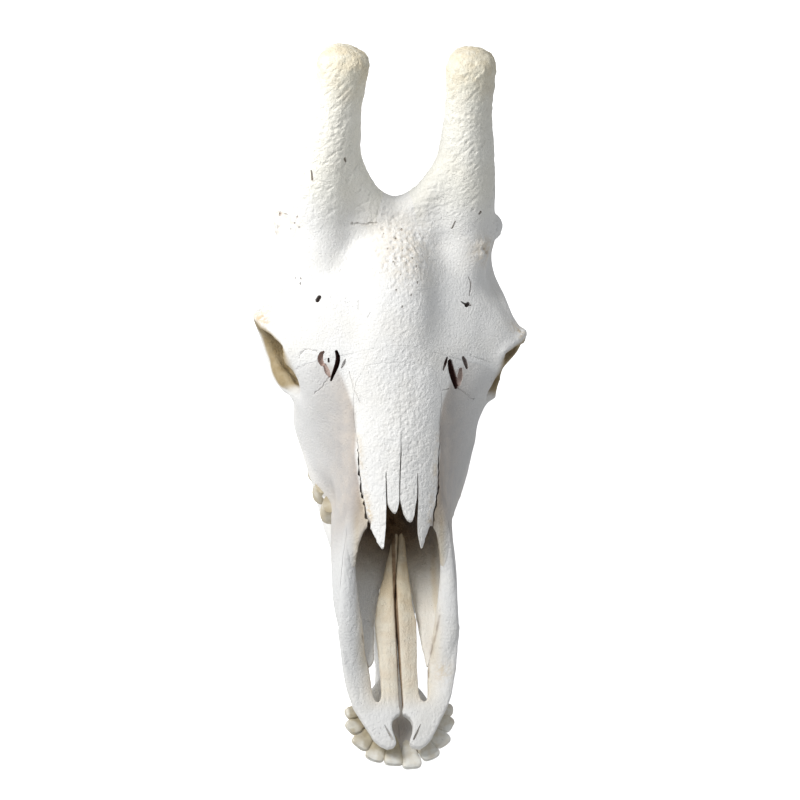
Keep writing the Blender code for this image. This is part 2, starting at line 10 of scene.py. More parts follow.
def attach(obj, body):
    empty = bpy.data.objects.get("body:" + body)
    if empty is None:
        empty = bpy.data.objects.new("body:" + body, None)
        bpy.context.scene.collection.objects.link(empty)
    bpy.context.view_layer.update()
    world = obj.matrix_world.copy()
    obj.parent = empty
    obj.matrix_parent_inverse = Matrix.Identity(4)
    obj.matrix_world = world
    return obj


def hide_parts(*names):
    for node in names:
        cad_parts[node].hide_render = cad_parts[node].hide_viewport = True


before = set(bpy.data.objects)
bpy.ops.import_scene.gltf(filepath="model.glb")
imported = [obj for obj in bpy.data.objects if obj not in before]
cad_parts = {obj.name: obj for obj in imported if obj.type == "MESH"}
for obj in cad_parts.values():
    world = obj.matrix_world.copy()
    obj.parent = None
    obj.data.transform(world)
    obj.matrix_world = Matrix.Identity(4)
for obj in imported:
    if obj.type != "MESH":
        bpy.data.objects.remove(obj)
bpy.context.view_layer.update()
scene = bpy.context.scene

restPose = {"frontRest": (185.0, -61.5), "rearRest": (395.0, -91.5), "flatDepth": 0.8, "middleBack": 261.7}


def skullToRow(pose):
    # the two places that the jaw rests on give the turn; then down to the floor, and into metres
    run = pose["rearRest"][0] - pose["frontRest"][0]
    drop = pose["frontRest"][1] - pose["rearRest"][1]
    turn = Matrix.Rotation(math.atan2(drop, run), 4, "X")
    foot = turn @ Vector((0, *pose["frontRest"]))
    place = Matrix.Translation((0, -pose["middleBack"], -foot.z - pose["flatDepth"]))
    return Matrix.Scale(0.001, 4) @ place @ turn


toRow = skullToRow(restPose)


# Lines and closed surfaces


def smoothLine(rows, perSpan, closed=False):
    # p(t) = (2b + (c-a)t + (2a-5b+4c-d)t^2 + (3b-a-3c+d)t^3) / 2 between rows b and c, all spans at once
    rows = np.asarray(rows, float)
    count = len(rows)
    k = np.arange(count if closed else count - 1)
    wrap = (lambda i: i % count) if closed else (lambda i: np.clip(i, 0, count - 1))
    a, b, c, d = (rows[wrap(k + s)][:, None] for s in (-1, 0, 1, 2))
    t = np.linspace(0, 1, perSpan, endpoint=False).reshape(1, -1, *[1] * (rows.ndim - 1))
    line = 0.5 * (2 * b + (c - a) * t + (2 * a - 5 * b + 4 * c - d) * t**2 + (3 * b - a - 3 * c + d) * t**3)
    line = line.reshape(-1, *rows.shape[1:])
    return line if closed else np.concatenate([line, rows[-1:]])


def ringsBody(rings, loop=False):
    # S(i, k) = rings[i][k], with quads between neighbours and a fan to the middle of each end
    rings = np.asarray(rings, float)
    count, around, _ = rings.shape
    i = np.arange(count if loop else count - 1)[:, None]
    k = np.arange(around)[None, :]
    j, m = (i + 1) % count, (k + 1) % around
    faces = np.stack([i * around + k, i * around + m, j * around + m, j * around + k], -1)
    faces = faces.reshape(-1, 4).tolist()
    points = rings.reshape(-1, 3)
    if not loop:
        k, top = np.arange(around), len(points)
        points = np.vstack([points, rings[0].mean(0), rings[-1].mean(0)])
        last = (count - 1) * around
        faces += np.stack([np.full(around, top), (k + 1) % around, k], 1).tolist()
        faces += np.stack([np.full(around, top + 1), last + k, last + (k + 1) % around], 1).tolist()
    return points, faces


def ovalTube(path, side=1, around=24, perSpan=8, loop=False, across=(1, 0, 0), bulge=1.0):
    # ring(s) = c(s) + cos(v) r1(s) e1(s) + sin(v) r2(s) e2(s); a path row is x, y, z, r1 and maybe r2
    rows = np.array([r if len(r) == 5 else (*r, r[3]) for r in path], float)
    rows = smoothLine(rows, perSpan, loop)
    centre, radii = rows[:, :3], rows[:, 3:]
    run = np.roll(centre, -1, 0) - np.roll(centre, 1, 0) if loop else np.gradient(centre, axis=0)
    run /= np.linalg.norm(run, axis=1)[:, None]
    first = np.array(across, float) - run * (run @ np.array(across, float))[:, None]
    first /= np.linalg.norm(first, axis=1)[:, None]
    second = np.cross(run, first)
    pick, along, size = np.arange(len(centre)), np.zeros(len(centre)), np.ones(len(centre))
    if not loop:
        caps = np.radians([84, 68, 52, 36, 18])
        last = len(centre) - 1
        pick = np.concatenate([np.zeros(5, int), pick, np.full(5, last)])
        along = np.concatenate([-bulge * np.sin(caps), along, bulge * np.sin(caps[::-1])])
        size = np.concatenate([np.cos(caps), size, np.cos(caps[::-1])])
    turn = np.linspace(0, 2 * math.pi, around, endpoint=False)[None, :, None]
    middle = centre[pick] + run[pick] * (along * radii[pick].min(1))[:, None]
    oval = np.cos(turn) * (first[pick] * radii[pick, :1])[:, None]
    oval = oval + np.sin(turn) * (second[pick] * radii[pick, 1:])[:, None]
    rings = middle[:, None] + oval * size[:, None, None]
    return ringsBody(rings * (side, 1, 1), loop)


def ellipsoid(centre, radii, side=1, turn=0.0, around=36, up=20):
    # centre + (rx cos(a) cos(b), ry sin(a) cos(b), rz sin(b)), turned by `turn` degrees about z
    a = np.linspace(0, 2 * math.pi, around, endpoint=False)[None, :]
    b = np.linspace(-math.pi / 2 + 0.06, math.pi / 2 - 0.06, up)[:, None]
    x, y, z = radii[0] * np.cos(a) * np.cos(b), radii[1] * np.sin(a) * np.cos(b), radii[2] * np.sin(b) + 0 * a
    c, s = math.cos(math.radians(turn)), math.sin(math.radians(turn))
    rings = np.stack([x * c - y * s, x * s + y * c, z], -1) + centre
    return ringsBody(rings * (side, 1, 1))


def sections(stations, around=9, along=9):
    # Mirrored closed sections: each station is y, the under side, four (x, z) points up the side, the roof
    rows = np.array([(y, low, *a, *b, *c, *d, top) for y, low, a, b, c, d, top in stations])
    line = smoothLine(rows, along)
    half = line[:, 2:-1].reshape(len(line), 4, 2)
    mid = np.zeros(len(line))
    outline = np.concatenate([np.stack([mid, line[:, 1]], -1)[:, None], half,
                              np.stack([mid, line[:, -1]], -1)[:, None], half[:, ::-1] * (-1, 1)], 1)
    ring = smoothLine(outline.transpose(1, 0, 2), around, closed=True).transpose(1, 0, 2)
    back = np.broadcast_to(line[:, :1], ring.shape[:2])
    return ringsBody(np.stack([ring[..., 0], back, ring[..., 1]], -1))


def slab(outline, low, high):
    # the plan outline carried straight up from one height to the other
    flat = np.array([(x, y, 0.0) for x, y in outline])
    count = len(flat)
    points = np.vstack([flat + (0, 0, low), flat + (0, 0, high)])
    k = np.arange(count)
    m = (k + 1) % count
    faces = np.stack([k, m, count + m, count + k], 1).tolist()
    return points, faces + [list(range(count)), list(range(count, 2 * count))]


def block(low, high):
    (left, front, under), (right, rear, top) = low, high
    return slab([(left, front), (right, front), (right, rear), (left, rear)], under, top)


# Meshes: making, joining, cutting, evening out


def newObject(name, data):
    obj = bpy.data.objects.new(name, data)
    scene.collection.objects.link(obj)
    return obj


def rework(mesh, work):
    # the mesh is opened for editing, changed by the given work and written back
    build = bmesh.new()
    build.from_mesh(mesh)
    work(build)
    build.to_mesh(mesh)
    build.free()


def bodyObject(name, body):
    # points and faces as an object of the scene, all faces turned outwards
    points, faces = body
    mesh = bpy.data.meshes.new(name)
    mesh.from_pydata(np.asarray(points).tolist(), [], faces)
    rework(mesh, lambda build: bmesh.ops.recalc_face_normals(build, faces=build.faces))
    return newObject(name, mesh)


def bake(obj):
    # the modifiers' result becomes the object's own mesh
    graph = bpy.context.evaluated_depsgraph_get()
    mesh = bpy.data.meshes.new_from_object(obj.evaluated_get(graph))
    obj.modifiers.clear()
    old = obj.data
    obj.data = mesh
    bpy.data.meshes.remove(old)
    return obj


def drop(obj):
    mesh = obj.data
    bpy.data.objects.remove(obj)
    bpy.data.meshes.remove(mesh)


def combine(obj, bodies, operation):
    # one Boolean of obj with all the bodies; a body is (points, faces) or an object, which is then removed
    others = [b if isinstance(b, bpy.types.Object) else bodyObject("tool", b) for b in bodies]
    group = bpy.data.collections.new("tools")
    scene.collection.children.link(group)
    for other in others:
        group.objects.link(other)
    modifier = obj.modifiers.new("combine", "BOOLEAN")
    modifier.operation = operation
    modifier.operand_type = "COLLECTION"
    modifier.collection = group
    modifier.solver = "MANIFOLD"
    bake(obj)
    for other in others:
        drop(other)
    bpy.data.collections.remove(group)
    return obj


def fuse(name, bodies):
    first, *rest = bodies
    return combine(bodyObject(name, first), rest, "UNION")


def carve(obj, bodies):
    return combine(obj, bodies, "DIFFERENCE")


def keepInside(obj, name, bodies):
    # the part of obj inside the joined bodies, as a new object
    made = newObject(name, obj.data.copy())
    region = fuse("region", bodies) if len(bodies) > 1 else bodies[0]
    return combine(made, [region], "INTERSECT")


def evenSkin(obj, size):
    # rebuilt as one skin of square faces of this size
    modifier = obj.modifiers.new("even", "REMESH")
    modifier.mode = "VOXEL"
    modifier.voxel_size = size
    return bake(obj)


def readOut(items, field, width, kind=float):
    # one field of all the points, edges or faces of a mesh, a row for each
    values = np.empty(len(items) * width, kind)
    items.foreach_get(field, values)
    return values.reshape(-1, width)


def pointsOf(obj):
    return readOut(obj.data.vertices, "co", 3)


def normalsOf(obj):
    return readOut(obj.data.vertices, "normal", 3)


def edgesOf(obj):
    return readOut(obj.data.edges, "vertices", 2, int)


def setPoints(obj, points):
    obj.data.vertices.foreach_set("co", np.asarray(points, float).ravel())
    obj.data.update()


def neighbours(obj):
    # the two ends of every edge, each way round, and how many neighbours each point has
    edges = edgesOf(obj)
    ends = np.concatenate([edges, edges[:, ::-1]])
    return ends, np.maximum(np.bincount(ends[:, 0], minlength=len(obj.data.vertices)), 1)


def neighbourMean(values, ends, degree):
    flat = values.reshape(len(values), -1)
    sums = [np.bincount(ends[:, 0], flat[ends[:, 1], k], len(flat)) for k in range(flat.shape[1])]
    return (np.stack(sums, 1) / degree[:, None]).reshape(values.shape)


def relax(obj, passes, hold=None):
    # p moves half way to the mean of its neighbours, again and again; hold 1 keeps a point still
    points, (ends, degree) = pointsOf(obj), neighbours(obj)
    free = 0.5 if hold is None else 0.5 * (1 - hold(points))[:, None]
    for _ in range(passes):
        points = points + free * (neighbourMean(points, ends, degree) - points)
    setPoints(obj, points)
    return obj


def evened(obj, look):
    # one even skin of small faces, without its loose crumbs, softened
    evenSkin(obj, look["voxel"])
    keepLargest(obj)
    return relax(obj, look["softPasses"])


def moveOut(obj, distance):
    setPoints(obj, pointsOf(obj) + normalsOf(obj) * distance)


def refine(obj, chosen):
    # every face whose points are all in the chosen areas is split in four
    inside = chosen(pointsOf(obj)) > 0.5
    ends = edgesOf(obj)
    picked = np.nonzero(inside[ends[:, 0]] & inside[ends[:, 1]])[0]

    def split(build):
        build.edges.ensure_lookup_table()
        chain = [build.edges[i] for i in picked]
        bmesh.ops.subdivide_edges(build, edges=chain, cuts=1, use_grid_fill=True)

    rework(obj.data, split)
    return obj


def lighten(obj, limit):
    # neighbouring triangles are merged, where a piece has more of them than it may
    count = int((readOut(obj.data.polygons, "loop_total", 1, int) - 2).sum())
    if count > limit:
        modifier = obj.modifiers.new("lighten", "DECIMATE")
        modifier.ratio = limit / count
        bake(obj)
    return obj


def keepLargest(obj):
    # labels spread along the edges until each joined surface has one; the commonest label stays
    edges = edgesOf(obj)
    label = np.arange(len(obj.data.vertices))
    while True:
        low = np.minimum(label[edges[:, 0]], label[edges[:, 1]])
        new = label.copy()
        np.minimum.at(new, edges[:, 0], low)
        np.minimum.at(new, edges[:, 1], low)
        new = new[new]
        if np.array_equal(new, label):
            break
        label = new
    names, counts = np.unique(label, return_counts=True)
    if len(names) > 1:
        loose = np.nonzero(label != names[counts.argmax()])[0]

        def shed(build):
            build.verts.ensure_lookup_table()
            bmesh.ops.delete(build, geom=[build.verts[i] for i in loose], context="VERTS")

        rework(obj.data, shed)
    return obj


# Unevenness: fields over space, worked out for all points at once


hashFactors = {"cell": (2376512323, 3625334849, 3407524639), "seed": 2654435761,
               "rounds": ((15, 739982445), (13, 695872825), (16, 1)), "largest": 4294967295.0}


def latticeRandom(cells, seed):
    # a steady number from 0 to 1 for each whole-number cell: its three numbers are multiplied, joined
    # by exclusive or, and stirred by shifts and products
    i = cells.astype(np.int64).astype(np.uint32)
    a, b, c = (i[..., k] * np.uint32(factor) for k, factor in enumerate(hashFactors["cell"]))
    h = a ^ b ^ c ^ np.uint32((seed * hashFactors["seed"]) % 2**32)
    for shift, factor in hashFactors["rounds"]:
        h ^= h >> np.uint32(shift)
        h *= np.uint32(factor)
    return h / hashFactors["largest"]


def softNoise(points, size, seed):
    # random corner values of a cubic lattice, blended by t^3 (6t^2 - 15t + 10); from -1 to 1
    place = points / size
    low = np.floor(place)
    t = place - low
    t = t**3 * (6 * t * t - 15 * t + 10)
    total = 0
    for corner in np.ndindex(2, 2, 2):
        corner = np.array(corner)
        weight = np.prod(np.where(corner, t, 1 - t), axis=-1)
        total = total + weight * latticeRandom(low + corner, seed)
    return 2 * total - 1


def layeredNoise(points, size, seed, layers=3):
    # soft noise, and half of it at half the size, and so on
    return sum(softNoise(points, size / 2**k, seed + 7 * k) / 2**k for k in range(layers))


def cellDistance(points, size, seed):
    # distance to the nearest of the points scattered one to a cell, in cells
    place = points / size
    low = np.floor(place)
    best = np.full(len(points), 9.0)
    for step in np.ndindex(3, 3, 3):
        cell = low + np.array(step) - 1
        spot = cell + np.stack([latticeRandom(cell, seed + k) for k in range(3)], -1)
        best = np.minimum(best, np.linalg.norm(place - spot, axis=1))
    return best


def bell(value, middle, width):
    # exp(-((v - middle) / width)^2)
    return np.exp(-((value - middle) / width) ** 2)


def rise(value, low, high):
    # from 0 to 1 between two values, by t^2 (3 - 2t)
    t = np.clip((value - low) / (high - low), 0, 1)
    return t * t * (3 - 2 * t)


def nearness(points, middle, reach):
    # 1 at the middle and less with the distance from it
    return bell(np.linalg.norm(points - middle, axis=1), 0, reach)


def lineDistance(points, line):
    # the least distance from each point to a chain of straight lines
    line = np.asarray(line, float)
    best = np.full(len(points), 1e9)
    for a, b in zip(line[:-1], line[1:]):
        run = b - a
        t = np.clip((points - a) @ run / (run @ run), 0, 1)
        best = np.minimum(best, np.linalg.norm(points - a - t[:, None] * run, axis=1))
    return best


print("stage: tools ready")


# The head: one form, softened, roughened and carved, then cut into its bones

head = {
    "voxel": 1.65, "softPasses": 10, "eyeToEye": 250.0,
    "orbitCentre": (94.0, 349.0, 82.0), "orbitRadii": (52.0, 35.0, 31.0),
    "cupCentre": (88.0, 349.0, 82.0), "cupRadii": (34.0, 39.0, 35.0),
    "hornBase": (64.0, 440.0, 140.0), "hornTip": (55.5, 506.0, 302.0), "hornTipRadius": 22.5,
    "faceEnd": 318.0, "toothBoneTop": 34.0, "toothBoneEnd": 374.0,
    "saddleHalf": 18.0, "hornFoot": (446.0, 168.0), "hornLean": 25.0,
    "cheekInner": 78.0, "cheekLowTop": 62.0, "cheekFront": 335.0, "cheekTop": 90.0, "cheekEnd": 424.0,
    "noseSpan": (60.0, 200.0), "hair": 0.05, "mostTriangles": 190000,
    "flowPasses": 80, "wallPasses": 140, "finePasses": 3,
}
sides = {"Left": 1, "Right": -1}


def both(maker, *args, **kwargs):
    # the same made for the animal's left and for its right
    return [maker(*args, side=side, **kwargs) for side in (1, -1)]


def faceBody():
    # the face from the front of the palate to the sockets
    return sections([
        (70, 1, (20, 1), (35, 7), (33, 11), (22, 13), 12),
        (100, 0, (32, 1), (50, 12), (47, 22), (38, 27), 24),
        (130, 0, (38, 1), (56, 16), (51, 30), (41, 40), 38),
        (165, 3, (40, 0), (57, 20), (50, 42), (40, 60), 68),
        (200, 4, (47, -1), (56, 20), (47, 50), (37, 77), 91),
        (235, 5, (62, -2), (59, 26), (49, 62), (36, 91.5), 104),
        (275, 6, (74, -3), (72, 34), (57, 80), (39, 108.5), 119),
        (310, 6, (78, -3), (87, 52), (71, 98), (52, 121), 134),
        (335, 7, (75, -2), (82, 60), (75, 105), (62, 130), 146),
    ])


def braincaseBody():
    # the braincase from between the sockets to the nape
    return sections([
        (322, 4, (50, -2), (48, 40), (50, 90), (60, 125), 138),
        (360, 8, (38, 2), (44, 40), (46, 85), (62, 130), 160),
        (400, 18, (22, 20), (44, 45), (50, 85), (64, 132), 172),
        (440, 24, (24, 26), (54, 50), (58, 85), (62, 130), 176),
        (470, 26, (26, 28), (58, 55), (58, 88), (50, 122), 152),
        (495, 30, (28, 34), (50, 60), (52, 88), (36, 106), 114),
        (515, 36, (24, 40), (36, 56), (36, 76), (22, 88), 92),
    ])


def roofBody():
    # the forehead and brows: half width, edge height and top height run back from the face to the horns
    widest = head["eyeToEye"] / 2 - 6
    rows = [(305, 0.56, 108, 131), (325, 0.75, 112, 142), (345, 0.91, 113, 152), (363, 1.0, 111, 161),
            (380, 0.955, 112, 168), (400, 0.86, 112, 173), (430, 0.775, 112, 178), (455, 0.775, 120, 178),
            (476, 0.66, 125, 158)]
    stations = []
    for back, share, edge, top in rows:
        half, arch = widest * share, edge + 0.65 * (top - edge)
        stations.append((back, top - 40, (0.6 * half, edge - 8), (half - 5, edge - 8), (half, edge),
                         (0.58 * half, arch), top))
    return sections(stations)


def saddleBody():
    # the bridge of bone that hangs between the feet of the horns
    half = [(53, 468, 238, 9), (43, 461, 214, 14), (35, 456, 196, 15.5), (24, 450, 179, 17)]
    path = half + [(0, 446, 166.5, 17.5)] + [(-x, y, z, r) for x, y, z, r in half[::-1]]
    return ovalTube(path, across=(0, 1, 0))


def crestBody():
    # the ridge across the back, where the neck's muscles hold
    half = [(66, 478, 70), (60, 487, 86), (44, 495, 101), (22, 499, 109)]
    path = [(x, y, z, 7) for x, y, z in half] + [(0, 500, 111, 7)]
    path += [(-x, y, z, 7) for x, y, z in half[::-1]]
    return ovalTube(path, across=(0, 1, 0))


def hornBody(side):
    # a horn with a blunt end, a little stouter on the animal's right
    x, y, z = head["hornTip"]
    r = head["hornTipRadius"]
    more = 0 if side > 0 else 1.0
    return ovalTube([(64, 436, 128, 28, 30), (64 + more, 446, 160, 30 + more, 32),
                     (62 + more, 460, 195, 29 + more, 30), (60 + more, 475, 229, 25.2 + more, 26.5),
                     (57.5 + more, 490, 265, 20.8 + more, 22.5),
                     (x, y, z, r, r)], side=side, around=40, bulge=0.75 if side > 0 else 0.58)


def noseHollow():
    # the nose passage, open in front and above
    return sections([
        (52, 8, (24, 9), (31, 14), (31, 30), (26, 70), 80),
        (85, 7, (28, 8), (36, 14), (33, 34), (28, 90), 100),
        (130, 7, (30, 7), (42, 16), (38, 38), (33, 100), 112),
        (160, 8, (30, 8), (42, 18), (38, 46), (30, 72), 75),
        (200, 9, (29, 9), (38, 22), (34, 52), (24, 74), 83),
        (250, 12, (24, 12), (30, 30), (27, 62), (20, 88), 96),
        (295, 24, (12, 26), (16, 45), (14, 70), (10, 86), 92),
    ])


def palateSlot(side):
    # the gap between the front bone's middle bar and the jaw, which has its own line on each side
    outline = [(-0.5, 40), (-0.5, 112), (7.5, 122)]
    if side > 0:
        outline += [(9.6, 150), (12, 176), (14, 176), (14.6, 160), (16.2, 146), (18, 130), (20.3, 113),
                    (22.6, 92), (24.6, 71), (34, 60), (34, 40)]
    else:
        outline += [(7.6, 150), (3.5, 176), (5, 176), (8, 160), (12, 146), (15.2, 130), (18.8, 112),
                    (19.6, 98), (20.4, 86), (21.2, 77), (24.5, 72), (28, 63), (34, 55), (34, 40)]
    return slab([(side * x, y) for x, y in outline], -20, 9)


def noseRoof():
    # the arched plate that both nose bones are cut from
    rows = [(148, 16, 73, 77), (175, 26, 76, 85), (200, 34, 79, 92.5), (235, 38, 91.5, 105.5),
            (275, 40.5, 107, 121.5), (306, 41, 126, 137), (320, 40, 134, 143)]
    stations = []
    for back, half, edge, top in rows:
        thick = float(np.interp(back, (150, 190, 230), (3.4, 4.4, 6.0)))
        arch = edge + 0.7 * (top - edge)
        stations.append((back, top - thick, (0.55 * half, arch - thick), (half, edge - thick),
                         (half, edge), (0.55 * half, arch), top))
    return sections(stations)


# plan of the nose bones: outer edge from the back to the tip, then the prongs back to the middle seam
noseOuter = {
    1: [(30, 306), (39, 290), (38.6, 264), (37.5, 247), (35.6, 234), (35.4, 222), (35, 211.5), (33.4, 201.4),
        (30.8, 189.3), (29.4, 181), (28.8, 172.5), (26, 167.5), (23, 162.1), (19.7, 156)],
    -1: [(30, 306), (39, 290), (38.6, 264), (36.2, 246), (35.5, 234), (34.4, 221.6), (32.8, 209.2),
         (30.6, 196.5), (29.6, 189), (27.6, 183.7), (25.8, 178.7), (26.7, 174.1), (24.6, 168.4),
         (22.1, 162.8), (18.9, 158)],
}
noseProngs = {
    1: [(17.4, 155), (16, 160.4), (14.7, 168.4), (14.8, 178.5), (16, 194), (16.1, 217), (15.3, 217),
        (15, 206), (14.6, 196.1), (12.9, 189.2), (11.6, 181), (10.1, 177.1), (7.9, 175.9), (5.4, 177.2),
        (2.3, 183.1), (0.2, 191.2), (-0.7, 194.6), (0.2, 214), (1.3, 232), (0.9, 250), (0, 306)],
    -1: [(16.9, 154.8), (15.7, 155.1), (13.8, 171), (13.2, 183.3), (12.9, 193.4), (13.1, 206), (13, 217),
         (12.1, 217), (11.9, 206), (11.5, 191.8), (9.4, 187.6), (7, 184), (5.1, 182.9), (3.4, 184.9),
         (1.9, 190.4), (1.6, 194.6), (0.9, 214), (-0.3, 232), (-0.85, 250), (0, 306)],
}
noseGap = {1: ((150, 176, 200, 232, 252), (3.2, 1.3, 1.0, 0.8, 0.0)),
           -1: ((150, 176, 200, 232, 252), (3.8, 2.3, 1.5, 0.9, 0.0))}


def noseEdge(side):
    # the outer edge drawn smooth, winding a little all along
    edge = smoothLine(noseOuter[side], 8)
    edge[:, 0] += 0.6 * softNoise(np.pad(edge, ((0, 0), (0, 1))), 2.4, 171 + side)
    return edge


def nosePlan(side, gap):
    # plan of one nose bone, drawn in by the gap
    outline = [(x - gap, y) for x, y in noseEdge(side)]
    outline += [(x + (gap / 2 if y > 214 and x < 9 else 0), y) for x, y in noseProngs[side]]
    return [(side * x, y) for x, y in outline]


def nosePlace(gap, opened=1.0):
    # plan of the place that both nose bones take, wider where an open gap shows beside them
    halves = []
    for side in (1, -1):
        edge = noseEdge(side)
        ragged = np.maximum(1 + 0.9 * softNoise(np.pad(edge, ((0, 0), (0, 1))), 3.1, 175 + side), 0)
        wide = edge[:, 0] + gap + opened * ragged * np.interp(edge[:, 1], *noseGap[side])
        half = [(side * x, y) for x, y in zip(wide, edge[:, 1])]
        half[0] = (half[0][0], half[0][1] + gap)
        halves.append(half + [(side * (24.5 + gap), 100)])
    left, right = halves
    return left + right[::-1]


def hornPlace(points, side):
    # millimetres along the horn's middle line from its foot, the angle round it and the distance from it
    foot, tip = (np.array(head[label]) * (side, 1, 1) for label in ("hornBase", "hornTip"))
    run = tip - foot
    length = np.linalg.norm(run)
    run = run / length
    off = points - foot
    s = off @ run
    off = off - s[:, None] * run
    right = np.array([1.0, 0, 0]) - run * run[0]
    right /= np.linalg.norm(right)
    up = np.cross(run, right)
    return s, np.arctan2(off @ up, off @ right), np.linalg.norm(off, axis=1)


def fineAreas(points):
    # horns, nose bones and the middle of the forehead, which show the finest relief
    x, y, z = points.T
    horn = (z > 165 + 0.25 * (y - 440)) & (y > 415)
    nose = (np.abs(x) < 46) & (y > 150) & (y < 330) & (z > 66 + 0.27 * (y - 150))
    forehead = (np.abs(x) < 37) & (y >= 325) & (y < 447) & (z > 120)
    lacrimal = (np.abs(np.abs(x) - 62) < 18) & (np.abs(y - 312) < 18) & (z > 95)
    return (horn | nose | forehead | lacrimal).astype(float)


def broadAreas(points):
    # forehead, root of the nose, horn feet and the walls in front of the sockets flow into each other
    x, y, z = points.T
    brow = rise(y, 292, 306) * (1 - rise(y, 425, 445)) * rise(z, 104, 112) * (1 - rise(np.abs(x), 88, 100))
    feet = np.zeros(len(points))
    for side in (1, -1):
        along, _, off = hornPlace(points, side)
        inner = rise(off, 12, 24) * (np.abs(x) < 54) * (1 - rise(along, 84, 116))
        foot = np.maximum(1 - rise(along, 32, 62), inner)
        feet = np.maximum(feet, foot * (off < 60) * (y > 405) * rise(z, 112, 130))
    feet *= rise(np.linalg.norm(points - (88, 442, 158), axis=1), 15, 28)
    wall = rise(y, 262, 276) * (1 - rise(y, 300, 310)) * rise(z, 20, 32) * (np.abs(x) > 45)
    bars = rise(y, 104, 112) * (1 - rise(y, 196, 206)) * (np.abs(x) > 38) * rise(z, 18, 24)
    return np.maximum.reduce([brow, feet, wall, 0.6 * bars])


def cheekWall(points):
    # the wall from the tooth roots up to the root of the nose, in front of the socket
    x, y, z = points.T
    wall = rise(y, 238, 262) * (1 - rise(y, 314, 326)) * rise(z, 14, 30) * (1 - rise(z, 104, 116))
    shoulder = rise(y, 240, 260) * (1 - rise(y, 318, 330)) * rise(z, 80, 94) * rise(np.abs(x), 29, 37)
    return np.maximum(wall * rise(np.abs(x), 43, 49), shoulder * (1 - rise(np.abs(x), 60, 72)))


def rimPath(side):
    # the ring of bone round a socket, thinner below on the animal's left
    path = [(121.5, 368.5, 109, 3.6 - 0.4 * side, 3.2), (107.5, 350, 115, 2.6, 2.8),
            (95.5, 331.5, 113, 2.8, 3.2)]
    if side > 0:
        return path + [(87, 317, 98, 4, 4.5), (83, 316, 86, 4, 5), (84, 316, 69, 3.5, 5),
                       (96, 322, 50, 3.4, 4.5), (100.5, 343, 47, 3, 4.5), (107, 364, 48, 3.2, 6),
                       (119.5, 383, 63, 3, 6), (118.5, 380, 88, 4, 6)]
    return path + [(86, 317, 99, 4, 4.5), (80.5, 315, 88, 3.5, 4), (83.5, 316.5, 66, 3.5, 5),
                   (98.5, 342, 50, 3.6, 9), (105, 364, 48, 6, 9), (113, 385, 64, 7, 9),
                   (119, 385, 88, 6.5, 8)]


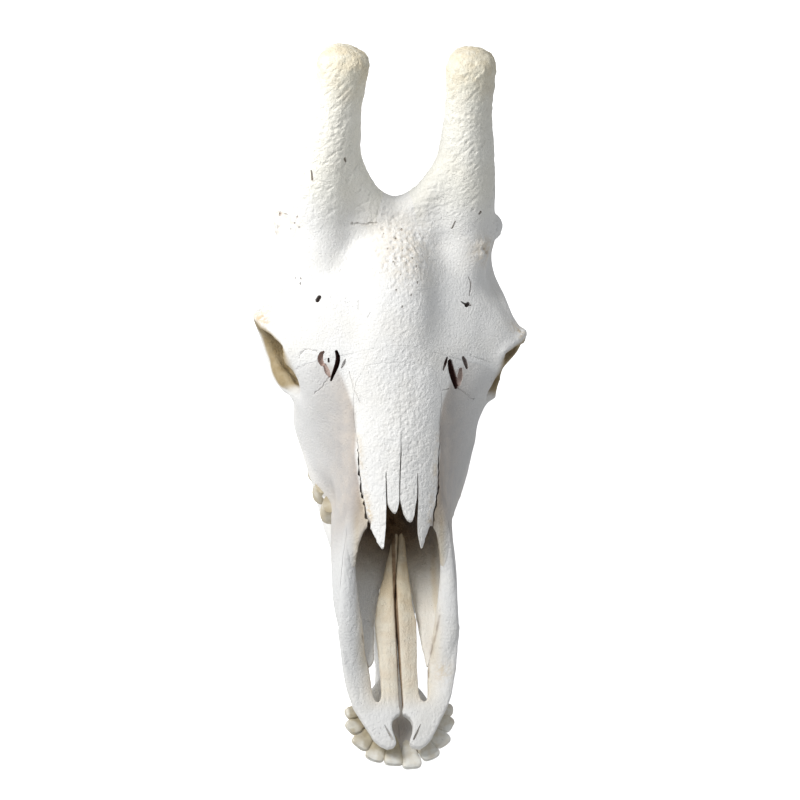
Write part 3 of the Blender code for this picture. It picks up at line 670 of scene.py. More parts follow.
def headForm():
    # bodies joined, hollowed, given their rims and nose roof, evened out and softened
    bodies = [faceBody(), braincaseBody(), roofBody(), saddleBody(), crestBody(),
              ovalTube([(0, 240, 82, 37, 20), (0, 290, 104, 38, 21), (0, 335, 129, 39, 24),
                        (0, 370, 146, 38, 26), (0, 405, 154, 34, 25), (0, 430, 154, 30, 22)], around=40),
              ellipsoid((0, 512, 50), (36, 26, 26))]
    bodies += both(ellipsoid, (21, 535, 43), (14, 15, 18))
    bodies += both(ovalTube, [(42, 496, 48, 8, 9), (43, 506, 22, 6, 8), (41, 512, -8, 4, 5)])
    bodies += both(ellipsoid, (34, 476, 20), (11, 19, 12))
    bodies += both(ovalTube, [(21, 345, 4, 4, 6), (20, 370, 8, 3.2, 15), (20, 394, 13, 3.2, 14),
                              (21, 415, 24, 4, 9)])
    bodies += [ovalTube([(111, 370, 108, 6.5), (102, 393, 109, 9), (91, 425, 111, 10), (90, 446, 120, 11),
                         (97, 464, 131, 12.5), (100, 468, 133, 10)]),
               ovalTube([(112, 372, 110, 9), (104, 395, 112, 9), (95, 425, 117, 10), (94, 445, 125, 11),
                         (99, 459, 134, 12), (103, 464, 137, 9)], side=-1)]
    bodies += both(hornBody) + [ellipsoid((88, 442, 158), (15, 13, 15))]
    bodies += both(ovalTube, [(58, 378, 116, 26), (61, 402, 130, 26), (63, 424, 146, 27.5),
                              (64, 443, 162, 29)])
    bodies += both(ellipsoid, (33, 438, 167), (20, 19, 15))
    bodies += both(ellipsoid, (76, 453, 59), (25, 20, 8.5))
    bodies += both(ovalTube, [(82, 460, 60, 8), (70, 474, 64, 9), (62, 483, 74, 9)])
    bodies += both(ovalTube, [(53, 258, 44, 4, 12), (63, 286, 54, 13, 22), (74, 310, 61, 14, 25),
                              (83, 328, 57, 12, 18), (94, 350, 47, 8, 8)])
    bodies += both(ovalTube, [(52, 282, 72, 5, 12), (68, 305, 86, 12, 18), (79, 321, 99, 11, 14)])
    bodies += both(ovalTube, [(43, 116, 31, 9, 8), (45, 135, 38, 9, 8), (45, 152, 45, 8, 7),
                              (43, 178, 59, 6, 5.5), (41, 198, 70, 4.5, 4)], across=(0.82, 0, 0.5))
    bodies += both(ovalTube, [(64, 325, 14, 14, 16), (62, 352, 12, 13, 15), (58, 369, 12, 12, 13)])
    bodies += both(ellipsoid, head["cupCentre"], head["cupRadii"])
    form = fuse("head", bodies)
    carve(form, both(ellipsoid, head["orbitCentre"], head["orbitRadii"], turn=-8))
    carve(form, [ellipsoid((115, 326, 75), (27, 24, 30)), ellipsoid((104, 325, 77), (24, 21, 25), side=-1)])
    carve(form, [noseHollow()])
    carve(form, [ovalTube([(0, 470, 58, 12), (0, 520, 54, 13), (0, 570, 50, 14)]),
                 ovalTube([(0, 352, 6, 13, 9), (0, 385, 2, 14, 12), (0, 420, -8, 14, 12)])])
    carve(form, both(palateSlot))
    carve(form, [slab(nosePlace(-1.5, 0), *head["noseSpan"])])
    rims = [ovalTube(rimPath(side), side, around=16, perSpan=7, loop=True, across=(0.9, 0.1, 0.3))
            for side in (1, -1)]
    rims += both(ellipsoid, (73, 321, 100), (12, 15, 18))
    rims += [ovalTube([(93, 332, 43, 4, 5), (104, 358, 42, 4, 7), (106, 388, 49, 5, 8.5), (97, 418, 56, 5, 8),
                       (84, 447, 60, 9, 8.5)]),
             ovalTube([(93, 334, 52, 8, 10), (103, 358, 46, 6, 10.5), (104, 388, 50, 5, 8.5),
                       (97, 418, 56, 5, 8), (84, 447, 60, 9, 8.5)], side=-1)]
    combine(form, rims + [noseRoof()], "UNION")
    evened(form, head)
    relax(form, head["flowPasses"], hold=lambda points: 1.0 - broadAreas(points))
    relax(form, head["wallPasses"], hold=lambda points: 1.0 - cheekWall(points))
    refine(form, fineAreas)
    return relax(form, head["finePasses"], hold=lambda points: 1.0 - fineAreas(points))


relief = {"swell": 0.55, "waves": 0.22, "browLeft": 4.2, "browRight": 1.2, "bumps": 0.16, "crumbs": 0.30,
          "noseGrain": 0.16, "noseCrumbs": 0.34, "nosePits": 0.55, "wallSunk": 8.5, "nape": 0.7}


def headRelief(points):
    # how far each point of the head moves out along its normal, in millimetres
    x, y, z = points.T
    # a soft swell all over, and the brows' dips
    move = relief["swell"] * softNoise(points, 34, 11) + relief["waves"] * layeredNoise(points, 13, 12, 2)
    onTop = rise(z, 95, 120) * rise(y, 150, 190)
    dips = relief["browLeft"] * bell(x, 44, 17) + relief["browRight"] * bell(x, -44, 17)
    move -= dips * bell(y, 378, 46) * onTop
    # the middle of the forehead: bumps and crumbs, and small pits towards the back
    middle = bell(x, 3, 26) * onTop * (1 - rise(y, 428, 452))
    bumps = layeredNoise(points, 5.2, 21, 2)
    pits = rise(cellDistance(points, 6.5, 31), 0.46, 0.12)
    crumbs = softNoise(points * (1, 0.85, 1), 2.1, 23)
    sink = (0.6 + 0.6 * rise(y, 375, 390)) * pits * rise(y, 345, 385)
    move += middle * (relief["bumps"] * bumps + relief["crumbs"] * crumbs - sink)
    # the nose bones: the same crumbs on a finer grain, and smaller pits
    nose = bell(x, 0, 34) * (1 - rise(y, 285, 330)) * rise(z, 60, 74) * (z > 40 + 0.2 * y)
    grain = layeredNoise(points * (1, 0.7, 1), 3.6, 25, 2)
    nose = nose * (0.35 + 0.65 * (1 - rise(y, 232, 285)))
    pits = rise(cellDistance(points, 4.0, 33), 0.34, 0.12)
    move += nose * (relief["noseGrain"] * grain + relief["noseCrumbs"] * crumbs - relief["nosePits"] * pits)
    for side in (1, -1):
        # the horn's skin: strokes that wind up it, pebbles and a few holes
        s, turn, off = hornPlace(points, side)
        near = (off < 46) & (s > 8)
        p, s, arc, off = points[near], s[near], turn[near] * 20, off[near]
        grow = rise(s, 18, 52) * rise(off, 12, 18)
        along, aside = 0.83 * s + 0.56 * arc, 0.83 * arc - 0.56 * s
        strokes = rise(softNoise(np.stack([along / 2.6, aside, off / 6], 1), 2.1, 41 + side), 0.15, 0.75)
        pebble = layeredNoise(p, 2.6, 45, 1) + 0.5 * softNoise(p, 7, 46)
        hole = rise(cellDistance(p, 11, 47), 0.24, 0.06) * rise(softNoise(p, 40, 49), -0.2, 0.5)
        knob = rise(s, 140, 165)
        move[near] += grow * (0.30 * pebble - 0.50 * strokes - 0.9 * hole) * (1 - 0.1 * knob)
    # rough knobs behind the horns, and a lump and a knot at their feet
    knobs = nearness(np.abs(points), (98, 461, 133), 22)
    pits = rise(cellDistance(points, 7.0, 53), 0.5, 0.15)
    move += knobs * (0.8 * layeredNoise(points, 6.0, 51, 2) - 1.0 * pits)
    lump = nearness(points, (78, 416, 157), 9)
    move += lump * (3.4 + 3.4 * layeredNoise(points, 4.4, 55, 2))
    knot = nearness(points, (92, 440, 160), 15)
    pits = rise(cellDistance(points, 6.0, 59), 0.45, 0.12)
    move += knot * (1.3 * layeredNoise(points, 5.0, 57, 2) - 1.5 * pits)
    # the tooth-bearing wall is sunk in front on the animal's right, so that its first teeth stand free
    sunk = bell(y, 230, 19) * (1 - rise(z, 16, 46)) * rise(z, -6, 0) * rise(-x, 38, 50)
    move -= relief["wallSunk"] * sunk
    # the sockets' rear corners and the nape are rough
    move += nearness(np.abs(points), (119, 368, 115), 13) * 0.5 * bumps
    move += rise(y, 470, 500) * (relief["nape"] * layeredNoise(points, 9, 61, 3))
    return move


print("stage: head form")
skull = headForm()
print("stage: head form has", len(skull.data.vertices), "points")
moveOut(skull, headRelief(pointsOf(skull))[:, None])
print("stage: head roughened")

# Fine carving of the head: holes, fissures, pits and the visible seams between bones

slots = [  # middle line with the half width at each point, depth, how dark the painted shade inside is and how pink inside
    ([(-54.5, 322, 128, 1.6), (-53.3, 317, 126, 2.3), (-54, 312, 121, 2.4), (-57, 306, 115, 1.7),
      (-59, 302, 112, 1.1)], 12, 1.0, 0.0),
    ([(-65.5, 324, 124, 1.2), (-67.5, 322.5, 123, 2.2), (-68.3, 319, 120, 2.9),
      (-66.8, 315.5, 118, 2.2)], 4.5, 0.2, 0.9),
    ([(-64.5, 314, 118, 1.8), (-62, 309, 115, 2.6), (-60, 305.5, 113, 1.2)], 3.0, 0.0, 0.8),
    ([(-61, 318.5, 122, 0.9), (-61, 316, 121, 1.1)], 5, 0.7, 0.0),
    ([(-46.5, 315, 126, 0.6), (-47.6, 312.5, 124, 1.5), (-50, 309, 122, 0.7)], 2.6, 0.25, 0.0),
    ([(48, 314, 125, 3.0), (49.5, 309, 122, 3.9), (52, 303, 117, 3.9), (55, 297, 112, 2.8)], 12, 1.0, 0.0),
    ([(45, 317, 128, 1.1), (43, 312, 126, 1.8), (41, 307, 124, 1.0)], 4, 0.5, 0.3),
    ([(61, 320, 124, 1.6), (63, 317, 121, 2.4), (65, 313, 118, 1.5)], 5, 0.6, 0.3),
    ([(58.5, 311, 118, 2.0), (57.8, 306, 114, 3.4), (57.5, 300, 111, 2.2)], 3.4, 0.1, 0.7),
    ([(-71.2, 366.8, 144, 2.3), (-69.2, 369.2, 144, 2.2)], 8, 0.7, 0.0),
    ([(64.5, 363, 145, 1.9), (66.5, 365, 145, 2.0)], 8, 0.7, 0.0),
    ([(59.5, 366, 146, 0.6), (64, 364, 145, 1.2), (70, 364, 145, 0.6)], 4, 0.4, 0.0),
    ([(66, 392, 148, 0.5), (69, 385, 146, 1.1), (68, 373, 146, 0.7)], 1.8, 0.25, 0.0),
    ([(-86, 400, 129, 1.2), (-86, 399, 129, 1.2)], 2, 0.3, 0.0),
    ([(-81, 395, 136, 1.1), (-80, 394, 136, 1.1)], 2, 0.35, 0.0),
    ([(-83, 390, 135, 1.1), (-83, 389, 135, 1.1)], 2, 0.35, 0.0),
    ([(75, 430, 195, 1.4), (74, 429, 194, 1.2)], 3, 0.35, 0.2),
    ([(-79, 450, 223, 0.8), (-78, 445, 217, 1.2)], 2.5, 0.35, 0.3),
    ([(-51, 452, 238, 1.3), (-49, 450, 236, 1.2)], 3, 0.3, 0.2),
    ([(50, 423, 179, 0.9), (52, 425, 186, 0.7)], 2, 0.2, 0.2),
    ([(-92, 436, 156, 1.9), (-91, 435, 157, 1.8)], 1.3, 0.08, 0.2),
    ([(-90, 433, 169, 1.9), (-89, 432, 169, 1.8)], 1.3, 0.08, 0.2),
    ([(-88, 434, 176, 1.6), (-87, 434, 177, 1.5)], 1.2, 0.05, 0.2),
    ([(-86, 428, 170, 1.6), (-85, 427, 170, 1.5)], 1.2, 0.05, 0.2),
    ([(-101, 464, 140, 2.4), (-100, 461, 141, 2.2)], 1.5, 0.0, 0.35),
    ([(-102, 455, 134, 2.0), (-101, 452, 133, 1.9)], 1.4, 0.0, 0.35),
]
seams = [  # thin winding seams: points near the surface, half width
    ([(-60, 305, 112), (-64, 303, 104), (-69, 301, 94)], 0.75),
    ([(-87, 324, 114), (-81, 328, 120), (-71, 326, 123)], 0.6),
    ([(-43, 304, 123), (-41, 293, 119), (-38, 286, 117), (-35, 277, 115)], 0.7),
    ([(-41, 430, 175), (-28, 432, 171), (-18, 430, 175)], 1.4),
    ([(-35, 359, 154), (-36, 351, 150)], 0.6),
    ([(-26, 346, 155), (-28, 343, 152)], 0.6),
    ([(56, 297, 110), (68, 299, 92), (73, 297, 92)], 0.75),
    ([(68, 323, 123), (77, 323, 118), (88, 322, 113)], 0.6),
    ([(42, 289, 117), (48, 293, 115)], 0.6),
]
midPits = [(-1, 412), (5, 422), (11, 411), (4, 399), (-5, 387), (7, 387), (16, 403), (22, 419), (-9, 401),
           (13, 392), (1, 374), (17, 384), (-12, 418), (9, 366), (-3, 358), (3, 340), (12, 352), (20, 368)]


def ontoSurface(tree, points):
    # each point's nearest place on the surface, and the way out of it there
    hits = [tree.find_nearest(Vector(p)) for p in points]
    return np.array([h[0] for h in hits]), np.array([h[1] for h in hits])


holePlaces = []  # where each hole lies, the way out of it, its half widths, how dark its painted shade is and how pink it is


def slotTool(tree, line, depth, dark, pink):
    # a blade along the line, sunk square to the surface: oval section, its own width all along
    path = smoothLine(line, 4)
    place, out = ontoSurface(tree, path[:, :3])
    half = path[:, 3]
    out = out.mean(0) / np.linalg.norm(out.mean(0))
    holePlaces.append((place, out, half, dark, pink))
    run = place[-1] - place[0]
    across = np.cross(run, out)
    across /= np.linalg.norm(across)
    rows = [(*(p - out * 0.25 * depth), h, 0.75 * depth) for p, h in zip(place, half)]
    return ovalTube(rows, around=16, perSpan=2, across=across)


def seamTool(tree, line, half, seed):
    # a thin tube that winds from side to side along the surface
    path = smoothLine(line, 10)
    place, out = ontoSurface(tree, path)
    run = np.gradient(place, axis=0)
    side = np.cross(run, out)
    side /= np.linalg.norm(side, axis=1)[:, None]
    wave = 0.9 * softNoise(place, 3.0, seed) + 0.6 * softNoise(place, 1.4, seed + 1)
    place = place + side * wave[:, None]
    return ovalTube([(*p, half) for p in place], around=8, perSpan=1, across=out.mean(0))


def pitTools(tree, spots, seed):
    # a small ball sunk at each spot, from 0.6 to 1.3 mm
    tools = []
    for i, (x, y) in enumerate(spots):
        place, out = ontoSurface(tree, [(x, y, 176)])
        size = 0.6 + 0.7 * float(latticeRandom(np.array([[i, 3, 5]]), seed)[0])
        tools.append(ellipsoid(place[0] - out[0] * 0.2, (size, 1.3 * size, 1.1 * size), around=10, up=8))
        # a little painted shade inside each pit
        holePlaces.append((place, out[0], np.array([size]), 0.12, 0.0))
    return tools


def carveHead(obj):
    tree = BVHTree.FromObject(obj, bpy.context.evaluated_depsgraph_get())
    blades = [slotTool(tree, *s) for s in slots]
    carve(obj, blades[:7])  # the blades of each half keep clear of one another
    carve(obj, blades[7:])
    carve(obj, [seamTool(tree, line, half, 70 + i) for i, (line, half) in enumerate(seams)])
    return carve(obj, pitTools(tree, midPits, 81))


# The two front bones of the upper jaw

frontBones = {"voxel": 0.85, "softPasses": 8, "clearance": 0.2, "bend": 5.0}
frontPlan = [(1.1, 27.5), (4.5, 26), (8, 22.5), (9.3, 17), (8.6, 11.5), (6.6, 6.5), (5.4, 2), (8, -1.4),
             (14, -2.8), (19.5, 0.2), (24.5, 5), (31.5, 17), (36.5, 26), (42, 36), (46.5, 50), (49.5, 64),
             (51.8, 84), (54, 100), (34, 100), (30, 84), (26.3, 70), (25.2, 55), (24.6, 45), (22.8, 39),
             (20, 37.5), (17.6, 40.5), (16.2, 50), (16.6, 70), (17.2, 86), (18.2, 100), (18.4, 112),
             (15.5, 132), (11.5, 154), (8.5, 172), (6, 186), (2.5, 192), (0.3, 190), (0.3, 140), (0.6, 84),
             (1.1, 62), (1.7, 44), (1.6, 35)]
frontAcross = (-4, 3, 9, 17, 25, 33, 41, 49, 58)
frontHeights = [  # y, then the upper and the under side at each of those x
    (-10, (4, 4, 5, 5, 4, 3, 2, 1, 1), (0,) * 9),
    (0, (6, 6, 7, 7, 6.5, 5, 4, 3, 2), (0,) * 9),
    (12, (8, 8.5, 9.5, 9.5, 9, 8.5, 7, 5, 4), (0,) * 9),
    (25, (8.5, 9, 10, 10.5, 10.5, 10.5, 9.5, 7, 5), (0.5,) * 9),
    (38, (9, 9.8, 10.5, 10.5, 11, 12.5, 13, 10.5, 8), (1,) * 9),
    (52, (9, 10.5, 11, 9.5, 9, 13, 16, 15, 12), (2, 2, 2, 2, 2, 2, 3, 4, 4)),
    (70, (10, 12, 12.5, 10, 9, 14.5, 19.5, 20.5, 18), (3, 3, 3, 3, 3, 4, 7, 9, 9)),
    (86, (11, 13.5, 13.5, 11, 10, 16, 24, 26, 24), (4, 4, 4, 4, 3, 6, 12, 15, 15)),
    (104, (12, 15.5, 15, 12, 11, 20, 30, 33, 31), (5, 5, 5, 5, 4, 10, 19, 23, 23)),
    (130, (14, 18, 17, 14, 14, 30, 40, 44, 40), (6, 6, 6, 6, 6, 20, 30, 34, 30)),
    (160, (18, 22, 20, 17, 17, 30, 40, 44, 40), (9, 9, 9, 9, 9, 20, 30, 34, 30)),
    (198, (26, 31, 26, 22, 20, 30, 40, 44, 40), (17, 17, 17, 14, 14, 20, 30, 34, 30)),
]


def plateBody(across, heights, side):
    # z(x, y) of the upper and the under side, given on a coarse grid and drawn smooth both ways
    line = smoothLine([(y, *tops, *lows) for y, tops, lows in heights], 6)
    count = len(across)
    x = smoothLine(np.array(across, float)[:, None], 4)[:, 0]
    top, low = (smoothLine(part.T, 4).T for part in (line[:, 1:count + 1], line[:, count + 1:]))
    z = np.concatenate([top, low[:, ::-1]], 1)
    ring = np.broadcast_to(side * np.concatenate([x, x[::-1]]), z.shape)
    return ringsBody(np.stack([ring, np.broadcast_to(line[:, :1], z.shape), z], -1))


def frontBone(name, side):
    # the plate cut to its plan, with the round bar that runs back beside the nose passage
    bone = bodyObject(name, plateBody(frontAcross, frontHeights, side))
    combine(bone, [slab([(side * x, y) for x, y in frontPlan], -20, 80)], "INTERSECT")
    bar = ovalTube([(37, 50, 9, 7, 3), (38, 68, 12.5, 9.5, 4.8), (40, 86, 19, 11, 6.6),
                    (42.5, 102, 26, 11.5, 7.3), (44, 125, 36, 9, 6.3), (44, 150, 46.5, 6.5, 4.4),
                    (42.8, 174, 58, 4.6, 3), (41.5, 190, 65.5, 3, 2)],
                   side=side, across=(0.82, 0, 0.5))
    combine(bone, [bar], "UNION")
    evened(bone, frontBones)
    points = pointsOf(bone)
    move = 0.3 * softNoise(points, 14, 91) + 0.12 * layeredNoise(points, 4, 92, 2)
    move += 0.22 * softNoise(points * (1, 0.12, 1), 2.6, 93) * rise(points[:, 1], 20, 50)
    points = points + normalsOf(bone) * move[:, None]
    x, y, _ = points.T
    points[:, 0] += frontBones["bend"] * rise(y, 122, 196) * (1 - rise(np.abs(x), 24, 34))
    setPoints(bone, points)
    slit = [(9.2 * side, 4.5, 9, 1.0, 4), (12 * side, 9.5, 10, 1.2, 4), (15.5 * side, 16.5, 11.5, 0.6, 3)]
    return carve(bone, [ovalTube(slit, around=12)])


def swollen(obj, name, by):
    # a copy whose points all lie a little further out
    made = newObject(name, obj.data.copy())
    moveOut(made, by)
    return made


# Cutting the head into its bones


def hornBlock(side, gap):
    # everything above a plane that crosses the foot of one horn, square to the horn
    points, faces = block((0, -200, 0), (200, 200, 400))
    c, s = math.cos(math.radians(head["hornLean"])), math.sin(math.radians(head["hornLean"]))
    x, y, z = points.T
    turned = np.stack([x, c * y + s * z, -s * y + c * z], 1)
    turned += (head["saddleHalf"] + gap, head["hornFoot"][0], head["hornFoot"][1] + gap)
    return turned * (side, 1, 1), faces


def rearBlocks(gap):
    # everything behind the step between the upper jaw and the braincase
    end, top, far = head["faceEnd"], head["toothBoneTop"], head["toothBoneEnd"]
    return [block((-300, end - gap, top - gap), (300, 900, 600)),
            block((-300, far - gap, -300), (300, 900, 300))]


def cheekBlocks(side, gap):
    # the place of one cheekbone: a low block and a higher one behind it
    inner, end = head["cheekInner"] - gap, head["cheekEnd"] + gap
    low, high = sorted((side * inner, side * 200))
    return [block((low, head["faceEnd"] - 5, 0), (high, end, head["cheekLowTop"] + gap)),
            block((low, head["cheekFront"] - gap, 20), (high, end, head["cheekTop"] + gap))]


def cutHead(form):
    # the bones are taken out one after another, each with a hair's gap to the rest
    hair, span, made = head["hair"], head["noseSpan"], {}
    for word, side in sides.items():
        made["noseBone" + word] = keepInside(form, "nose", [slab(nosePlan(side, 2 * hair), *span)])
    carve(form, [slab(nosePlace(2 * hair), *span)])
    for word, side in sides.items():
        made["horn" + word] = keepInside(form, "horn", [hornBlock(side, hair)])
        carve(form, [hornBlock(side, 0)])
    rear = keepInside(form, "rear", rearBlocks(0))
    for word, side in sides.items():
        made["cheekBone" + word] = keepInside(rear, "cheek", cheekBlocks(side, 0))
        carve(rear, cheekBlocks(side, hair))
    made["braincase"] = rear
    made["upperJawBone"] = carve(form, [fuse("behind", rearBlocks(hair))])
    return {name: lighten(keepLargest(obj), head["mostTriangles"]) for name, obj in made.items()}


frontPair = {"frontBone" + word: frontBone("frontBone" + word, side) for word, side in sides.items()}
carveHead(skull)
carve(skull, [swollen(bone, "clear", frontBones["clearance"]) for bone in frontPair.values()])
bones = {**cutHead(skull), **frontPair}
print("stage: head carved and cut into", len(bones), "bones")


# The lower jaw

lowerJaw = {"voxel": 1.3, "softPasses": 10, "middleGap": 0.1}
chinPlan = [(-4, -4), (7, -3.5), (15, -0.5), (23.5, 7), (29.5, 16), (32, 30), (30.5, 44), (27, 54),
            (22, 62), (15, 70), (10, 82), (-4, 82)]
chinAcross = (-4, 4, 12, 20, 28, 36)
chinHeights = [
    (-6, (-15, -15, -15, -15.5, -16, -16), (-19,) * 6),
    (4, (-14, -13.5, -13.5, -14, -15, -16), (-22,) * 6),
    (20, (-15, -14.5, -13.5, -13, -13, -14), (-28, -28, -27, -25, -23, -22)),
    (40, (-18, -17.5, -16, -14.5, -13.5, -14), (-32, -32, -31, -28, -25, -24)),
    (60, (-20, -19.5, -18.5, -18, -18, -18), (-36, -36, -35, -33, -30, -30)),
    (90, (-22, -21.5, -21, -21, -21, -21), (-42, -42, -41, -40, -38, -38)),
]


def jawBone(name, side):
    # the chin's plate and the bar that runs back from it, up to the joint and the thin spur before it
    bodies = [
        ovalTube([(16, 20, -21, 15, 5), (19, 36, -24, 18, 7.5), (11.5, 56, -28, 10.5, 9.5),
                  (8.2, 78, -31, 7.8, 11.5), (8.8, 104, -35, 8, 13), (18, 145, -39, 9, 15.5),
                  (32, 190, -44, 9.5, 18.3), (47, 240, -47.5, 10.5, 20), (57, 290, -51, 11.5, 22.5),
                  (61, 335, -54, 12, 26.5), (64, 372, -57, 11, 31.5), (67, 400, -59, 8, 33),
                  (68, 416, -56, 5, 29)], side=side),
        ovalTube([(66, 398, -62, 7, 25), (68, 409, -38, 6.5, 34), (70, 416, -12, 6, 34),
                  (71, 424, 10, 5.5, 28), (73, 436, 27, 5.5, 18), (74, 446, 37, 7, 9)], side=side),
        ovalTube([(68, 404, 0, 5, 18), (70, 410, 30, 4.5, 12), (72, 418, 60, 4, 9), (73, 431, 88, 3.5, 6)],
                 side=side),
        ellipsoid((75, 448, 41), (16, 8, 6), side=side),
    ]
    jaw = bodyObject(name, plateBody(chinAcross, chinHeights, side))
    combine(jaw, [slab([(side * x, y) for x, y in chinPlan], -60, 10)], "INTERSECT")
    combine(jaw, bodies, "UNION")
    evened(jaw, lowerJaw)
    points = pointsOf(jaw)
    move = 0.5 * softNoise(points, 28, 101) + 0.15 * layeredNoise(points, 8, 102, 2)
    corner = rise(points[:, 1], 380, 410) * (1 - rise(points[:, 2], -50, -20))
    move += corner * 0.8 * layeredNoise(points, 7, 103, 3)
    moveOut(jaw, move[:, None])
    low, high = sorted((side * -200.0, side * lowerJaw["middleGap"]))
    carve(jaw, [block((low, -60, -150), (high, 600, 150))])
    # all that would lie below the floor, turned back to the skull's own place
    corners, faces = block((-300, -100, -400), (300, 700, 0))
    corners = np.array([toRow.inverted() @ Vector(p * (0.001, 0.001, 0.001)) for p in corners])
    return carve(jaw, [(corners, faces)])


bones.update({"jaw" + word: jawBone("jaw" + word, side) for word, side in sides.items()})
print("stage: lower jaw made")


# Teeth

cheekTeeth = {
    "upper": {"sizes": ((20, 19, 1), (22, 22, 1), (22, 24, 1), (26, 27, 2), (29, 28, 2), (28, 26, 2)),
              "start": 222.0, "crown": -15.6, "root": 8.0, "bias": 1,
              "line": ((222, 244, 266, 290, 318, 352), (50, 57, 62, 65, 66, 62))},
    "lower": {"sizes": ((16, 11, 1), (21, 14, 1), (23, 16, 1), (26, 18, 2), (28, 19, 2), (34, 17, 3)),
              "start": 219.0, "crown": -16.4, "root": -37.0, "bias": 0,
              "line": ((219, 244, 266, 290, 318, 360), (44, 51, 55.5, 58, 60, 61))},
}


def cheekTooth(x, y, length, width, lobes, crown, root, side, bias, seed):
    # rings of a waisted oval from root to crown edge, then in over the chewing face, whose height
    # follows a crescent ridge round each lobe: h = 1.6 exp(-((r - 0.62) / 0.16)^2) - 1.4
    around = 20 + 20 * lobes
    a = np.linspace(0, 2 * math.pi, around, endpoint=False)[None, :]
    waist = 1 - (0.16 * np.cos(2 * lobes * (a - math.pi / 2)) if lobes > 1 else 0)
    ribs = 1 + 0.05 * np.cos(2 * (lobes + 1) * (a - math.pi / 2))
    up = np.concatenate([np.linspace(0, 1, 12), np.ones(7)])[:, None]
    inward = np.concatenate([np.ones(12), np.linspace(0.9, 0.12, 7)])[:, None]
    grow = np.interp(up, (0, 0.35, 0.75, 0.93, 1), (0.72, 0.86, 1.0, 0.97, 0.88))
    wide = width / 2 * np.sign(np.cos(a)) * np.abs(np.cos(a)) ** 0.75 * waist * ribs * grow * inward
    run = length / 2 * 0.99 * np.sign(np.sin(a)) * np.abs(np.sin(a)) ** 0.7 * (0.6 + 0.4 * grow) * inward
    lean = bias * width * 0.10 * (1 - up)
    local = (run / (length / 2) * lobes + lobes - 1) % 2 - 1 if lobes > 1 else run / (length / 2)
    ring = np.sqrt((wide / (width / 2)) ** 2 + local**2)
    face = (1.7 * bell(ring, 0.62, 0.17) - 1.5 + 0.5 * np.cos(a)) * (up >= 1) * (1 - 0.3 * inward)
    height = root + (crown - root) * up + math.copysign(1, crown - root) * face
    points = np.stack([side * (x + wide + lean), y + run, height + 0 * a], -1)
    flat = points.reshape(-1, 3)
    rough = 0.25 * layeredNoise(flat * (1, 1, 0.35), 3.0, seed, 2)
    middle = np.array([side * x, y, 0])
    out = flat - middle
    out[:, 2] = 0
    out /= np.maximum(np.linalg.norm(out, axis=1), 1)[:, None]
    return ringsBody((flat + out * rough[:, None]).reshape(points.shape))


def toothRow(kind, side):
    # one cheek tooth behind another along the row's line
    row = cheekTeeth[kind]
    back, teeth = row["start"], []
    for i, (length, width, lobes) in enumerate(row["sizes"]):
        y = back + length / 2
        teeth.append(cheekTooth(float(np.interp(y, *row["line"])), y, length, width, lobes,
                                row["crown"], row["root"], side, row["bias"], 111 + 5 * i))
        back += length
    return teeth


frontTeeth = {  # tip x, tip y and width of each, from the middle outwards
    "tips": {1: [(8.9, -15.6, 18.5), (27, -7.5, 18.5), (39.3, 5.2, 17.5), (46.2, 21, 16), (47.6, 35.5, 12.5)],
             -1: [(8.1, -12.6, 18), (25, -8.2, 18.5), (37.6, 4.2, 18), (45, 19.6, 15.5), (46.4, 33.8, 12.5)]},
    "tipHeight": -7.0, "rootHeight": -22.0, "length": 36.0, "towards": (0.16, 46.0),
}


def toothTips(side):
    return np.array([(side * x, y, frontTeeth["tipHeight"]) for x, y, _ in frontTeeth["tips"][side]])


def frontTooth(root, tip, width, side, seed):
    # oval rings from root to edge; the crown widens like a spoon, hollowed on its tongue side, worn blunt
    root, tip = np.array(root, float), np.array(tip, float)
    length = np.linalg.norm(tip - root)
    run = (tip - root) / length
    across = np.cross(run, (0, 0, 1))
    across /= np.linalg.norm(across)
    top = np.cross(across, run)
    share = np.concatenate([np.linspace(0, 0.9, 24), [0.93, 0.955, 0.975, 0.99, 1.0]])[:, None]
    half = 0.93 * width * np.interp(share, (0, 0.35, 0.5, 0.62, 0.8, 0.93, 0.975, 1),
                                    (0.21, 0.26, 0.34, 0.44, 0.50, 0.50, 0.475, 0.40))
    thick = np.interp(share, (0, 0.35, 0.55, 0.8, 0.955, 1), (3.8, 4.6, 4.9, 4.2, 3.6, 2.2))
    a = np.linspace(0, 2 * math.pi, 40, endpoint=False)[None, :]
    square = np.maximum(np.abs(np.cos(a)), np.abs(np.sin(a))) ** -0.45
    scoop = 1.3 * rise(share, 0.5, 0.72) * rise(np.sin(a), 0.2, 0.9) * (1 - np.abs(np.cos(a)))
    along = share * length - 1.6 * (np.cos(a) ** 4) * rise(share, 0.85, 1.0)
    points = (root + run * along[..., None] + across * (half * np.cos(a) * square)[..., None]
              + top * (thick * np.sin(a) - scoop)[..., None])
    flat = points.reshape(-1, 3)
    flat = flat + 0.5 * np.stack([softNoise(flat, 7, seed + k) for k in range(3)], 1)
    flat = flat + 0.16 * np.stack([softNoise(flat, 2.2, seed + 5 + k) for k in range(3)], 1)
    return ringsBody(flat.reshape(points.shape) * (side, 1, 1))


def frontRow(side):
    # front teeth set like a fan, their roots drawn towards one place in the chin
    row, teeth = frontTeeth, []
    for i, (x, y, width) in enumerate(row["tips"][side]):
        tip = np.array([x, y, row["tipHeight"]])
        goal = np.array([row["towards"][0] * x, row["towards"][1], row["tipHeight"]])
        root = tip + (goal - tip) / np.linalg.norm(goal - tip) * row["length"]
        root[2] = row["rootHeight"]
        teeth.append(frontTooth(root, tip, width, side, 131 + 9 * i + (4 if side < 0 else 0)))
    return teeth


